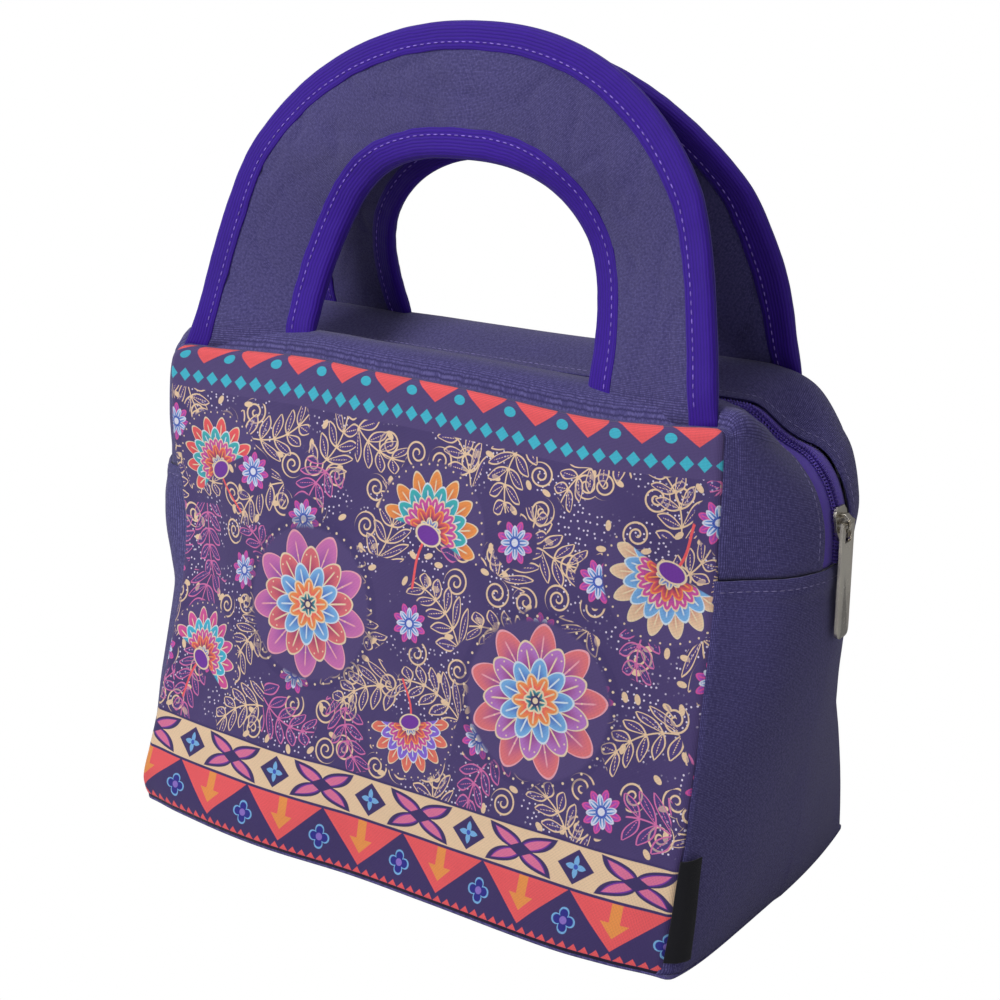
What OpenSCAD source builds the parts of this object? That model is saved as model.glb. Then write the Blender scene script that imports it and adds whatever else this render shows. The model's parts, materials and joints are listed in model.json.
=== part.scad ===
// Soft insulated lunch bag with a zipped top and two padded arch handles.
// Origin: middle of the base, on the ground. +Z is up, the decorated front faces -Y,
// and the zipper slider is on the +X side. The back half mirrors the front half.

/* [Body] */
// Width of the front and back panels at the base
base_w = 250; // [220:2:300]
// Width of the front and back panels at their top seam
top_w = 244; // [220:2:290]
// Depth of the base, front to back
base_d = 144; // [120:2:180]
// Depth between the top seams of the front and back panels
top_d = 82; // [70:2:110]
// Height of the front and back panels
panel_h = 188; // [160:2:220]
// Height of the top halves, which fold open above the side seams where the zipper ends
fold_h = 52; // [50:1:70]
// How far each side swells out beyond the panels at the zipper
side_swell = 24; // [8:1:34]
// How far the top strips arch above the panels' top seams
crest_h = 9; // [4:0.5:14]
// Radius of the panels' top corners
rim_r = 4; // [3:1:12]

/* [Layers] */
// Thickness of the outer polyester
fabric_t = 0.8; // [0.5:0.1:1.2]
// Thickness of the insulating foam
foam_t = 4; // [2:0.5:5]
// Thickness of the heat-reflecting lining
lining_t = 0.5; // [0.3:0.1:0.8]
// Thickness of the board that stiffens the base
board_t = 1.5; // [1:0.5:3]
// Width of the tape that binds the inner seams
seam_tape_w = 9; // [6:1:12]
// Thickness of the bound inner seams
seam_tape_t = 1.6; // [1:0.2:2]

/* [Zipper] */
// Half of the gap between the two top strips, where the zipper shows
zip_half = 8.5; // [8:0.5:11]
// Radius of the zipper's path round the top corners
zip_r = 42; // [26:1:44]
// Thickness of the woven zipper tape
tape_t = 0.6; // [0.4:0.1:1]
// How far the tape runs under the edge of the top strip
tape_tuck = 1.4; // [1:0.1:2.5]
// Width of one coil of the zipper
coil_w = 2.6; // [2:0.2:3]
// Height of the coil on its tape
coil_h = 2; // [1.6:0.1:2.6]
// Gap between the two coils, which the slider's wedge runs in
coil_gap = 1.1; // [1:0.1:1.4]

/* [Slider] */
// How far round the corner the closed slider sits, in degrees
slider_turn = 8; // [0:1:20]
// Length of the slider along the zipper
slider_l = 12; // [10:1:14]
// Width of the slider across the zipper
slider_w = 9; // [7:0.5:11]
// Thickness of the slider's plates
plate_t = 1.1; // [0.8:0.1:1.4]
// Length of the pull tab
tab_l = 42; // [24:1:50]
// Width of the pull tab
tab_w = 9.4; // [8:0.2:11]
// Thickness of the pull tab
tab_t = 1.2; // [0.8:0.1:1.4]
// Width of the slot at the head of the pull tab
slot_w = 4.6; // [4:0.2:5]
// Radius of the bar that the pull tab turns on
bar_r = 0.8; // [0.6:0.1:1]

/* [Handles] */
// Width of each handle over its outer edge
handle_w = 236; // [200:1:240]
// Height of each handle along its own slope
handle_h = 130; // [110:1:150]
// Width of the hand opening at its foot
grip_w = 124; // [90:2:130]
// Height of the hand opening along the handle
grip_h = 80; // [70:1:90]
// Angle at which the front handle leans in over the bag
front_lean = 13; // [8:1:16]
// Angle at which the back handle leans in over the bag
back_lean = 17; // [8:1:17]
// Thickness of the handle's foam core
core_t = 3.6; // [2.5:0.1:4]
// Thickness of the fabric on the handle's faces
face_t = 0.7; // [0.5:0.1:1]
// Width of the binding tape on each face of the handle
bind_w = 11; // [8:1:14]
// Thickness of the binding tape
bind_t = 0.8; // [0.5:0.1:1]

/* [Label] */
// Height of the blank side label
label_h = 42; // [20:1:60]
// Width of the blank side label
label_w = 12; // [8:1:16]
// Height of the label's lower edge above the ground
label_foot = 6; // [4:1:20]

/* [Hidden] */
$fn = 48;

fit = 0.1;              // gap between layers that are sewn together
fold_gap = 0.3;         // gap at the fold between the lower bag and the top halves
run = 0.2;              // running gap of the slider on the zipper
wall_t = fabric_t + foam_t + lining_t;
seam_h = panel_h - fold_h;  // height of the side seams

// Half thicknesses of the handle's core, of its faces, and of the tape over them.
half_core = core_t / 2;
half_face = half_core + face_t;
half_bind = half_face + fit / 2 + bind_t;

lean = atan((base_d - top_d) / 2 / panel_h);  // slope of the front panel
zip_x = half_w(seam_h) + side_swell;          // half width of the bag at the zipper
zip_top = panel_h - 1;                        // height of the strip's edge along the top
tape_drop = fabric_t + 0.7;                   // depth of the tape's face below the strip's edge

// Outer face of the front panel at height z, and half its width there.
function panel_y(z) = -base_d / 2 + (base_d - top_d) / 2 * z / panel_h;
function half_w(z) = base_w / 2 + (top_w - base_w) / 2 * z / panel_h;

// Front edge of the side panels and top strips, just behind the panel's fabric.
function rim_y(z) = panel_y(z) + (fabric_t + fit) / cos(lean);

function lerp(a, b, t) = a + (b - a) * t;
function unit(v) = v / norm(v);
function join(lists) = [for (l = lists) for (p = l) p];

// ---------------------------------------------------------------- sheets that follow a surface

// Closed slab between two grids of points. Rows run up or along the bag, columns run
// from front to back, and the first grid is the outer one.
module slab(outer, inner) {
    rows = len(outer);
    cols = len(outer[0]);
    n = rows * cols;
    function at(i, j) = i * cols + j;
    quads = [for (i = [0 : rows - 2]) for (j = [0 : cols - 2])
        [at(i, j), at(i + 1, j), at(i + 1, j + 1), at(i, j + 1)]];
    face = join([for (q = quads) [[q[0], q[1], q[2]], [q[0], q[2], q[3]]]]);
    back = [for (f = face) [f[2] + n, f[1] + n, f[0] + n]];
    ring = concat(
        [for (i = [0 : rows - 2]) at(i, 0)],
        [for (j = [0 : cols - 2]) at(rows - 1, j)],
        [for (i = [rows - 1 : -1 : 1]) at(i, cols - 1)],
        [for (j = [cols - 1 : -1 : 1]) at(0, j)]);
    m = len(ring);
    edge = join([for (k = [0 : m - 1]) let (a = ring[k], b = ring[(k + 1) % m])
        [[b, a, a + n], [b, a + n, b + n]]]);
    polyhedron(points = concat(join(outer), join(inner)), faces = concat(face, back, edge));
}

// Outward normals of a grid of points, from each point's neighbours.
function grid_normals(g) = let (r = len(g) - 1, c = len(g[0]) - 1)
    [for (i = [0 : r]) [for (j = [0 : c])
        unit(cross(
            g[i][min(j + 1, c)] - g[i][max(j - 1, 0)],
            g[min(i + 1, r)][j] - g[max(i - 1, 0)][j]))]];

// The grid pushed inwards by depth.
function sunk(g, normals, depth) = [for (i = [0 : len(g) - 1])
    [for (j = [0 : len(g[0]) - 1]) g[i][j] - normals[i][j] * depth]];

function part_of(g, c0, c1) = [for (row = g) [for (j = [c0 : c1]) row[j]]];

// A layer of the grid between two depths, from column c0 to column c1.
module layer(g, depth, t, c0, c1) {
    normals = grid_normals(g);
    slab(part_of(sunk(g, normals, depth), c0, c1), part_of(sunk(g, normals, depth + t), c0, c1));
}

// ---------------------------------------------------------------- top strips

// The strip starts as a flat ledge, on which the handles stand, and then rises to its crest.
function handle_set(lean) = half_bind / cos(lean);    // puts the handle's front in line with the panel's
ledge_w = 2 * handle_set(max(front_lean, back_lean)) + 3 * fit + panel_y(panel_h) - rim_y(panel_h);
ledge = ledge_w / (-zip_half - rim_y(panel_h));
across = [0, ledge, 0.27, 0.34, 0.46, 0.62, 0.8, 1];  // columns of a top strip, from panel to zipper
last_col = len(across) - 1;
strip_from = 3;                                       // the strip's foam and lining stop short of
strip_to = last_col - 1;                              // both edges

// Right half of a path that goes up one side, round a corner and along the top to the middle.
seam_z = seam_h + fold_gap / 2;
function side_run(top, r) = top - r - seam_z;
function turn_run(r) = r * PI / 2;
function half_run(w, top, r) = side_run(top, r) + turn_run(r) + w - r;
// Point at distance d along it: x, z, and the direction it faces there.
function path_point(w0, w1, top, r, d) = let (
        a = side_run(top, r),
        b = a + turn_run(r),
        turn = 90 * (d - a) / turn_run(r))
    d < a ? [lerp(w0, w1, d / a), seam_z + d, 0]
    : d < b ? [w1 - r + r * cos(turn), top - r + r * sin(turn), turn]
    : [w1 - r - (d - b), top, 90];

rim_run = half_run(top_w / 2, panel_h, rim_r);
zip_run = half_run(zip_x, zip_top, zip_r);
function rim_point(t) = path_point(half_w(seam_z), top_w / 2, panel_h, rim_r, t * rim_run);
function zip_point(t) = path_point(zip_x, zip_x, zip_top, zip_r, t * zip_run);

// Shares of the half path at which there is a row, with the starts and ends of both corners.
corner_rows = [
    side_run(zip_top, zip_r) / zip_run,
    side_run(panel_h, rim_r) / rim_run,
    (side_run(panel_h, rim_r) + turn_run(rim_r)) / rim_run,
    (side_run(zip_top, zip_r) + turn_run(zip_r)) / zip_run];
function spread(t0, t1, n) = [for (k = [0 : n - 1]) lerp(t0, t1, k / n)];
half_rows = concat(
    [0],
    spread(corner_rows[0], corner_rows[1], 5),
    spread(corner_rows[1], corner_rows[2], 2),
    spread(corner_rows[2], corner_rows[3], 3),
    spread(corner_rows[3], 1, 5),
    [1]);

// Share of the side's swell at v, from 0 at the panel to 1 at the zipper.
roundness = 1.8;
zip_share = zip_half / (base_d / 2 * 0.68);
function swell(v) = (1 - pow(lerp(1, zip_share, v), roundness)) / (1 - pow(zip_share, roundness));
// Arch of the strip over the top: it rises behind the ledge and eases out towards the zipper.
rise = 0.6;
ease = 1.4;
arch_peak = pow(rise / (rise + ease), rise) * pow(ease / (rise + ease), ease);
function arch(v) = let (s = max(v - ledge, 0) / (1 - ledge)) pow(s, rise) * pow(1 - s, ease) / arch_peak;

function strip_point(t, v) = let (
        a = rim_point(t),
        b = zip_point(t),
        facing = (a.z + b.z) / 2,
        out = side_swell * (swell(v) - v) * pow(cos(facing), 2) + crest_h * arch(v) * pow(sin(facing), 2))
    [lerp(a.x, b.x, v) + out * cos(facing),
        lerp(rim_y(a.y), -zip_half, v),
        lerp(a.y, b.y, v) + out * sin(facing)];
function strip_row(t) = [for (v = across) strip_point(t, v)];
function flipped(row) = [for (p = row) [-p.x, p.y, p.z]];

strip_grid = concat(
    [for (t = half_rows) strip_row(t)],
    [for (k = [len(half_rows) - 2 : -1 : 0]) flipped(strip_row(half_rows[k]))]);

module top_strip() color("#3f3968") layer(strip_grid, 0, fabric_t, 0, last_col);
module strip_foam() color("#f2f2f2") layer(strip_grid, fabric_t, foam_t, strip_from, strip_to);
module strip_lining()
    color("#c9ccd1") layer(strip_grid, fabric_t + foam_t, lining_t, strip_from, strip_to);

// ---------------------------------------------------------------- side panels below the seam

side_rows = 8;
wall_foot = fabric_t + fit;  // the walls stand on the base panel's fabric

// How much of the swell is left at height z.
function fall(z) = pow(sin(90 * z / seam_h), 0.9);
wall_across = [0, 0.09, 0.18, 0.26, 0.42, 0.6, 0.8, 1];
side_cols = concat(wall_across, [for (k = [len(wall_across) - 1 : -1 : 0]) 2 - wall_across[k]]);

function side_point(z, v) = let (
        back = v > 1,
        u = back ? 2 - v : v,
        y = lerp(rim_y(z), -zip_half, u))
    [half_w(z) + side_swell * fall(z) * swell(u), back ? -y : y, z];

side_grid = [for (i = [0 : side_rows])
    let (z = lerp(wall_foot, seam_h - fold_gap / 2, i / side_rows)) [for (v = side_cols) side_point(z, v)]];
last_side = len(side_cols) - 1;
wall_from = 2;
wall_to = last_side - wall_from;

module side_panel() color("#3f3968") layer(side_grid, 0, fabric_t, 0, last_side);
module side_foam()
    color("#f2f2f2") layer(side_grid, fabric_t, foam_t, wall_from, wall_to);
module side_lining()
    color("#c9ccd1") layer(side_grid, fabric_t + foam_t, lining_t, wall_from, wall_to);

// Blank woven label, sewn into the front seam and lying on the right side panel.
label_t = 0.6;
label_lift = 0.5;
module side_label() {
    rows = 5;
    u_end = label_w / (-rim_y(label_foot) - zip_half);
    grid = [for (i = [0 : rows]) let (z = label_foot + label_h * i / rows)
        [for (k = [0 : 3]) side_point(z, u_end * k / 3)]];
    normals = grid_normals(grid);
    color("#141418") slab(sunk(grid, normals, -label_lift - label_t), sunk(grid, normals, -label_lift));
}

// ---------------------------------------------------------------- flat panels, front and back

module on_panel() translate([0, -base_d / 2, 0]) rotate([90 - lean, 0, 0]) children();

// Height along the sloping panel for a height z on its outer face.
function along(z) = z / cos(lean);

// A flat sheet behind the panel's outer face, between two depths.
module sheet(outline, depth, t) on_panel() translate([0, 0, -depth - t]) linear_extrude(t) polygon(outline);

// Outline below the fold. Its foot stands on the base panel at any depth.
function lower_outline(inset, deep) = let (
        u0 = (wall_foot + deep * sin(lean)) / cos(lean),
        z1 = seam_h - fold_gap / 2,
        w0 = half_w(0) - inset,
        w1 = half_w(z1) - inset)
    [[-w0, u0], [w0, u0], [w1, along(z1)], [-w1, along(z1)]];

// Outline above the fold, with rounded top corners.
function upper_half(inset, foot) = let (
        z0 = seam_h + fold_gap / 2,
        r = max(rim_r - inset, 1),
        w = top_w / 2 - inset,
        top = panel_h - inset)
    concat([[half_w(z0) - inset, along(z0) + foot]],
        [for (k = [0 : 6]) let (a = 15 * k) [w - r + r * cos(a), along(top - r + r * sin(a))]]);
function both_sides(h) = concat(h, [for (k = [len(h) - 1 : -1 : 0]) [-h[k].x, h[k].y]]);
function upper_outline(inset) = both_sides(upper_half(inset, 0));

foam_inset = fabric_t + 3 * fit;

module panel_lower() color("#3f3968") sheet(lower_outline(0, fabric_t), 0, fabric_t);
module foam_lower() color("#f2f2f2") sheet(lower_outline(foam_inset, fabric_t + foam_t), fabric_t, foam_t);
module lining_lower() color("#c9ccd1") sheet(lower_outline(foam_inset, wall_t), fabric_t + foam_t, lining_t);
module panel_upper() color("#3f3968") sheet(upper_outline(0), 0, fabric_t);
module foam_upper() color("#f2f2f2") sheet(upper_outline(foam_inset), fabric_t, foam_t);
module lining_upper() color("#c9ccd1") sheet(upper_outline(foam_inset), fabric_t + foam_t, lining_t);

// Bound seams inside, round the rim of each panel: a U below the fold, and its mirror above.
tape_depth = wall_t + fit;
module seam_tape_lower() color("#2a2740") difference() {
    sheet(lower_outline(foam_inset, tape_depth + seam_tape_t), tape_depth, seam_tape_t);
    on_panel() translate([0, 0, -tape_depth - seam_tape_t - 1]) linear_extrude(seam_tape_t + 2)
        polygon([for (p = lower_outline(foam_inset + seam_tape_w, 0))
            [p.x, p.y > along(seam_h / 2) ? p.y + 1 : p.y + seam_tape_w]]);
}
module seam_tape_upper() color("#2a2740") difference() {
    sheet(upper_outline(foam_inset), tape_depth, seam_tape_t);
    on_panel() translate([0, 0, -tape_depth - seam_tape_t - 1]) linear_extrude(seam_tape_t + 2)
        polygon(both_sides(upper_half(foam_inset + seam_tape_w, -1)));
}

// ---------------------------------------------------------------- base

module plate(w, d, r, t) linear_extrude(t) {
    square([w - 2 * r, d], center = true);
    square([w, d - 2 * r], center = true);
    for (x = [-1, 1], y = [-1, 1]) translate([x * (w / 2 - r), y * (d / 2 - r)]) circle(r);
}

// A layer inside the walls, from height z up.
module base_layer(z, t) {
    d = -panel_y(z + t) - (tape_depth + seam_tape_t + fit) / cos(lean);
    w = half_w(0) - wall_t - 3 * fit;
    translate([0, 0, z]) plate(2 * w, 2 * d, 3, t);
}

module base_panel() color("#3f3968") plate(base_w, base_d, 4, fabric_t);
module base_board() color("#2b2b30") base_layer(fabric_t, board_t);
module base_foam() color("#f2f2f2") base_layer(fabric_t + board_t, foam_t);
module base_lining() color("#c9ccd1") base_layer(fabric_t + board_t + foam_t, lining_t);

// ---------------------------------------------------------------- zipper

// Shape inside the strip's edge, moved in by d: straight sides and top with round corners.
module zip_outline(d, foot) {
    w = zip_x - d;
    top = zip_top - d;
    r = zip_r - d;
    intersection() {
        translate([-w, foot]) square([2 * w, top - foot]);
        union() {
            translate([-w, foot]) square([2 * w, top - r - foot]);
            translate([r - w, foot]) square([2 * (w - r), top - foot]);
            for (side = [-1, 1]) translate([side * (w - r), top - r]) circle(r, $fn = 96);
        }
    }
}

// Below this height the zipper's ends stay closed on the lower bag, under the parked slider.
end_turn = slider_turn + asin((slider_l / 2 + 2) / zip_r);
zip_split = zip_top - zip_r + zip_r * sin(end_turn);

// A band of the zipper between two depths, from y0 to y1, above the split.
module zip_band(y0, y1) translate([0, y1, 0]) rotate([90, 0, 0]) linear_extrude(y1 - y0) children();
module zip_ring(d0, d1, foot) difference() {
    zip_outline(d0, foot);
    zip_outline(d1, foot - 1);
}
module zip_end(d0, d1) difference() {
    zip_ring(d0, d1, seam_z);
    translate([-zip_x - 1, seam_z - 1]) square([zip_x + 1, zip_top]);
    translate([-zip_x - 1, zip_split - fold_gap]) square([2 * zip_x + 2, zip_top]);
}

coil_out = coil_gap / 2 + coil_w;
tape_out = zip_half + tape_tuck;
tape_in = coil_gap / 2 + 0.6;
module zip_tape() color("#5b3fc4")
    zip_band(-tape_out, -tape_in) zip_ring(tape_drop, tape_drop + tape_t, zip_split);
module zip_coil() color("#2a1a78")
    zip_band(-coil_out, -coil_gap / 2) zip_ring(tape_drop - coil_h, tape_drop, zip_split);
module zip_tape_end() color("#5b3fc4")
    zip_band(-tape_out, -tape_in) zip_end(tape_drop, tape_drop + tape_t);
module zip_coil_end() color("#2a1a78")
    zip_band(-coil_out, -coil_gap / 2) zip_end(tape_drop - coil_h, tape_drop);

// ---------------------------------------------------------------- slider and pull tab

// The slider turns with the zipper's corner. Here x is the height above the strip's edge,
// y runs across the zipper and z along it, towards the top of the bag.
corner = [zip_x - zip_r, 0, zip_top - zip_r];
module on_zipper() translate(corner) rotate([0, -slider_turn, 0]) translate([zip_r, 0, 0]) children();

top_x = coil_h - tape_drop + run;                 // inner face of the slider's outer plate
face_x = top_x + plate_t;                         // outer face of the slider's outer plate
bar_gap = 1.2;                                    // clear space under the pull tab's bar
bar_x = face_x + bar_gap + bar_r;                 // axis of the pull tab
bend = pow(slider_l / 2, 2) / 2 / (zip_r - tape_drop - tape_t - run);  // curve of the tape along the slider
under_x = -tape_drop - tape_t - run - bend;       // outer face of the slider's inner plate
crown_in = bar_r + 1.5 * run;                     // clear radius under the crown
crown_t = 0.9;
crown_w = 3;
crown_reach = 3.4;                                // half length of the crown along the zipper
leaf_w = 1.6;
leaf_t = 0.5;

// Flat shape across the zipper, drawn as [z, y], standing between two x values.
module stand(x0, x1) translate([x0, 0, 0]) rotate([0, -90, 180]) linear_extrude(x1 - x0) children();
// Shape seen from the side, drawn as [x, z], centred on the zipper and w wide.
module profile(w) translate([0, w / 2, 0]) rotate([90, 0, 0]) linear_extrude(w) children();

// Shield shape of a slider plate: wide at the top, where it parts the coils.
module shield() polygon([
    [-slider_l / 2, -slider_w * 0.32], [-slider_l * 0.2, -slider_w / 2], [slider_l * 0.34, -slider_w / 2],
    [slider_l / 2, -slider_w * 0.32], [slider_l / 2, slider_w * 0.32], [slider_l * 0.34, slider_w / 2],
    [-slider_l * 0.2, slider_w / 2], [-slider_l / 2, slider_w * 0.32]]);

// Two plates, joined by a web that runs between the coils.
module slider_body() color("#c9c6bd") on_zipper() {
    web_w = coil_gap - 2 * run;
    web_l = slider_l * 0.35;
    stand(top_x, face_x) shield();
    stand(under_x - plate_t, under_x) shield();
    stand(under_x - plate_t / 2, face_x - plate_t / 2) translate([0, -web_w / 2]) square([web_l, web_w]);
}

// Bent strip over the pull tab's bar, standing on the outer plate at both ends.
module slider_crown() color("#d2cfc6") on_zipper() profile(crown_w) difference() {
    polygon([
        [face_x, -crown_reach], [bar_x, -crown_reach], [bar_x + crown_in + crown_t, -crown_in],
        [bar_x + crown_in + crown_t, crown_in], [bar_x, crown_reach], [face_x, crown_reach]]);
    polygon([
        [face_x - 1, -crown_reach + crown_t], [bar_x - 0.2, -crown_reach + crown_t],
        [bar_x + crown_in, -crown_in * 0.8], [bar_x + crown_in, crown_in * 0.8],
        [bar_x - 0.2, crown_reach - crown_t], [face_x - 1, crown_reach - crown_t]]);
}

// Leaf under the crown that locks the slider on the coil.
module lock_pawl() color("#a9a69d") on_zipper() profile(leaf_w)
    translate([face_x, crown_reach - crown_t - leaf_t - fit]) square([bar_x - face_x - bar_r / 2, leaf_t]);

// The tab hangs straight down from its bar.
module pull_tab() color("#bdbab0") {
    slot_l = crown_reach + 3;
    on_zipper() translate([bar_x, 0, 0]) rotate([0, slider_turn, 0]) {
        rotate([90, 0, 0]) cylinder(r = bar_r, h = tab_w, center = true);
        translate([-tab_t / 2, 0, 0]) rotate([0, 90, 0]) linear_extrude(tab_t) difference() {
            union() {
                translate([0, -tab_w / 2]) square([tab_l - tab_w / 2, tab_w]);
                translate([tab_l - tab_w / 2, 0]) circle(tab_w / 2);
            }
            translate([bar_r / 2, -slot_w / 2]) square([slot_l, slot_w]);
        }
    }
}

// ---------------------------------------------------------------- handles

// The handle stands on the strip's ledge, above the panel's top seam.
arch_steps = 36;
outer_curve = 2.2;       // exponents of the rounded arches
inner_curve = 2.6;

// Half of a rounded arch, a wide and b high, shrunk by d.
function arch_points(a, b, n, d) = [for (k = [0 : arch_steps]) let (t = 180 * k / arch_steps)
    [(a - d) * sign(cos(t)) * pow(abs(cos(t)), 2 / n), (b - d) * pow(sin(t), 2 / n)]];
function outer_arch(d) = arch_points(handle_w / 2, handle_h, outer_curve, d);
function inner_arch(d) = arch_points(grip_w / 2, grip_h, inner_curve, -d);

// Band between two arches.
module arch_band(a, b, z0, z1)
    translate([0, 0, z0]) linear_extrude(z1 - z0) polygon(concat(a, [for (k = [len(b) - 1 : -1 : 0]) b[k]]));

module on_handle(lean)
    translate([0, panel_y(panel_h) + handle_set(lean), panel_h + half_bind * sin(lean) + 3 * fit])
    rotate([90 - lean, 0, 0]) children();

module handle_core(lean) color("#e8e8ec") on_handle(lean)
    arch_band(outer_arch(1.5), inner_arch(1.5), -half_core, half_core);
module handle_face(lean) color("#454072") on_handle(lean)
    arch_band(outer_arch(1), inner_arch(1), half_core, half_face);
module handle_backing(lean) color("#2e2b49") on_handle(lean)
    arch_band(outer_arch(1), inner_arch(1), -half_face, -half_core);
// Tape folded over the edge: both faces and the edge between them.
module outer_binding(lean) color("#3a12a0") on_handle(lean) {
    gap = half_face + fit / 2;
    arch_band(outer_arch(0), outer_arch(0.9), -half_bind, half_bind);
    for (side = [-1, 1]) arch_band(outer_arch(0.4), outer_arch(bind_w),
        side > 0 ? gap : -half_bind, side > 0 ? half_bind : -gap);
}
module inner_binding(lean) color("#3a12a0") on_handle(lean) {
    gap = half_face + fit / 2;
    arch_band(inner_arch(0.9), inner_arch(0), -half_bind, half_bind);
    for (side = [-1, 1]) arch_band(inner_arch(bind_w), inner_arch(0.4),
        side > 0 ? gap : -half_bind, side > 0 ? half_bind : -gap);
}

// ---------------------------------------------------------------- nodes

module back() mirror([0, 1, 0]) children();
module left() mirror([1, 0, 0]) children();

panel_lower();  // front_panel_lower
back() panel_lower();  // back_panel_lower
side_panel();  // side_panel_right
left() side_panel();  // side_panel_left
base_panel();
base_board();
base_foam();
base_lining();
foam_lower();  // front_foam_lower
back() foam_lower();  // back_foam_lower
side_foam();  // side_foam_right
left() side_foam();  // side_foam_left
lining_lower();  // front_lining_lower
back() lining_lower();  // back_lining_lower
side_lining();  // side_lining_right
left() side_lining();  // side_lining_left
seam_tape_lower();  // front_seam_tape_lower
back() seam_tape_lower();  // back_seam_tape_lower
side_label();
zip_tape_end();  // front_tape_end_right
left() zip_tape_end();  // front_tape_end_left
back() zip_tape_end();  // back_tape_end_right
left() back() zip_tape_end();  // back_tape_end_left
zip_coil_end();  // front_coil_end_right
left() zip_coil_end();  // front_coil_end_left
back() zip_coil_end();  // back_coil_end_right
left() back() zip_coil_end();  // back_coil_end_left

panel_upper();  // front_panel_upper
top_strip();  // front_top_strip
strip_foam();  // front_strip_foam
strip_lining();  // front_strip_lining
foam_upper();  // front_foam_upper
lining_upper();  // front_lining_upper
seam_tape_upper();  // front_seam_tape_upper
zip_tape();  // front_zip_tape
zip_coil();  // front_zip_coil

back() panel_upper();  // back_panel_upper
back() top_strip();  // back_top_strip
back() strip_foam();  // back_strip_foam
back() strip_lining();  // back_strip_lining
back() foam_upper();  // back_foam_upper
back() lining_upper();  // back_lining_upper
back() seam_tape_upper();  // back_seam_tape_upper
back() zip_tape();  // back_zip_tape
back() zip_coil();  // back_zip_coil

handle_face(front_lean);  // front_handle_face
handle_backing(front_lean);  // front_handle_backing
handle_core(front_lean);  // front_handle_core
outer_binding(front_lean);  // front_handle_outer_binding
inner_binding(front_lean);  // front_handle_inner_binding
back() handle_face(back_lean);  // back_handle_face
back() handle_backing(back_lean);  // back_handle_backing
back() handle_core(back_lean);  // back_handle_core
back() outer_binding(back_lean);  // back_handle_outer_binding
back() inner_binding(back_lean);  // back_handle_inner_binding

slider_body();
slider_crown();
lock_pawl();
pull_tab();
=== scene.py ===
# Soft insulated lunch bag: cloth, padding, tapes and zipper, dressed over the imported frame.
import math

import bmesh
import bpy
from mathutils import Matrix, Vector, noise
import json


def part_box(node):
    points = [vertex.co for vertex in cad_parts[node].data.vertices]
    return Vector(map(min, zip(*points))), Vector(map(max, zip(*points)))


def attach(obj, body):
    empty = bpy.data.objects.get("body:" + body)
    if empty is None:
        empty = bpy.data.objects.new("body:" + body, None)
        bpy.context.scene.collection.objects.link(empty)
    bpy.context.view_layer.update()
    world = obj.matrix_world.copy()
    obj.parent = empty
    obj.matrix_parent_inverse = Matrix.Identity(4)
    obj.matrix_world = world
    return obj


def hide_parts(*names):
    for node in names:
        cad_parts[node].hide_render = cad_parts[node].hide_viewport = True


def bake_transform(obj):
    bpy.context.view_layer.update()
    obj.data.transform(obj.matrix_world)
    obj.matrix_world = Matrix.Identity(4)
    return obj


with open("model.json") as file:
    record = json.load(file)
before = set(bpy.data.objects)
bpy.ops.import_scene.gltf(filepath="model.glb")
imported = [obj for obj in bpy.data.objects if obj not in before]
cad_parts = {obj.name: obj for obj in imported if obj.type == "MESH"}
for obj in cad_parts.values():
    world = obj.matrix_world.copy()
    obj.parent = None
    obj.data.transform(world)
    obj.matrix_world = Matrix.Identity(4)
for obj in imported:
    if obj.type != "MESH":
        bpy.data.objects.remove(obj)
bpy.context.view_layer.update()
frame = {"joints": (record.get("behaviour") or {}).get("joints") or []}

MM = 0.001
PI = math.pi

# ---------------------------------------------------------------- camera

camera = bpy.data.objects.new("camera", bpy.data.cameras.new("camera"))
bpy.context.scene.collection.objects.link(camera)
bpy.context.scene.camera = camera
camera.data.sensor_width = 36
camera.data.lens = 67.76
camera.data.clip_end = 60
yaw, pitch, roll = 0.605, 0.288, 0.006
camera.matrix_world = (
    Matrix.Translation(Vector((404.35, -578.42, 342.67)) * MM)
    @ Matrix.Rotation(yaw, 4, "Z")
    @ Matrix.Rotation(PI / 2 - pitch, 4, "X")
    @ Matrix.Rotation(roll, 4, "Z")
)

# ---------------------------------------------------------------- sizes, from the frame

joints = {j["name"]: j for j in frame["joints"]}
upper_low, upper_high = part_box("front_panel_upper")
arch_low, arch_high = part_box("front_handle_outer_binding")
FOLD_Y, FOLD = joints["front_top_fold"]["pos_m"][1:]
TOP = upper_high.z
HALF_BASE, HALF_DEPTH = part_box("base_panel")[1].xy
LEAN = (FOLD_Y + HALF_DEPTH) / FOLD
NARROW = (HALF_BASE - upper_high.x) / upper_low.z
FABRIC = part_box("base_board")[0].z
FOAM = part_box("base_foam")[1].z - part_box("base_foam")[0].z
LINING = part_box("base_lining")[1].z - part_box("base_lining")[0].z
ZIP_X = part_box("front_top_strip")[1].x
ZIP_HALF = -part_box("front_zip_tape")[0].y - 1.4 * MM
ZIP_TOP = TOP - 1 * MM
CORNER_X, _, CORNER_Z = joints["slider_run"]["pos_m"]
ZIP_R = ZIP_TOP - CORNER_Z
TAPE_DROP = ZIP_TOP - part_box("front_zip_tape")[1].z
BIND = 11 * MM
BAND = 2.9 * MM
HANDLE_A = arch_high.x
HANDLE_H = 130 * MM
HALF_BIND = 3.35 * MM
GRIP_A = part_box("front_handle_inner_binding")[1].x - BIND
GRIP_H = 80 * MM


def lerp(a, b, t):
    return a + (b - a) * t


def step(a, b, x):
    t = min(max((x - a) / (b - a), 0), 1)
    return t * t * (3 - 2 * t)


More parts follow.
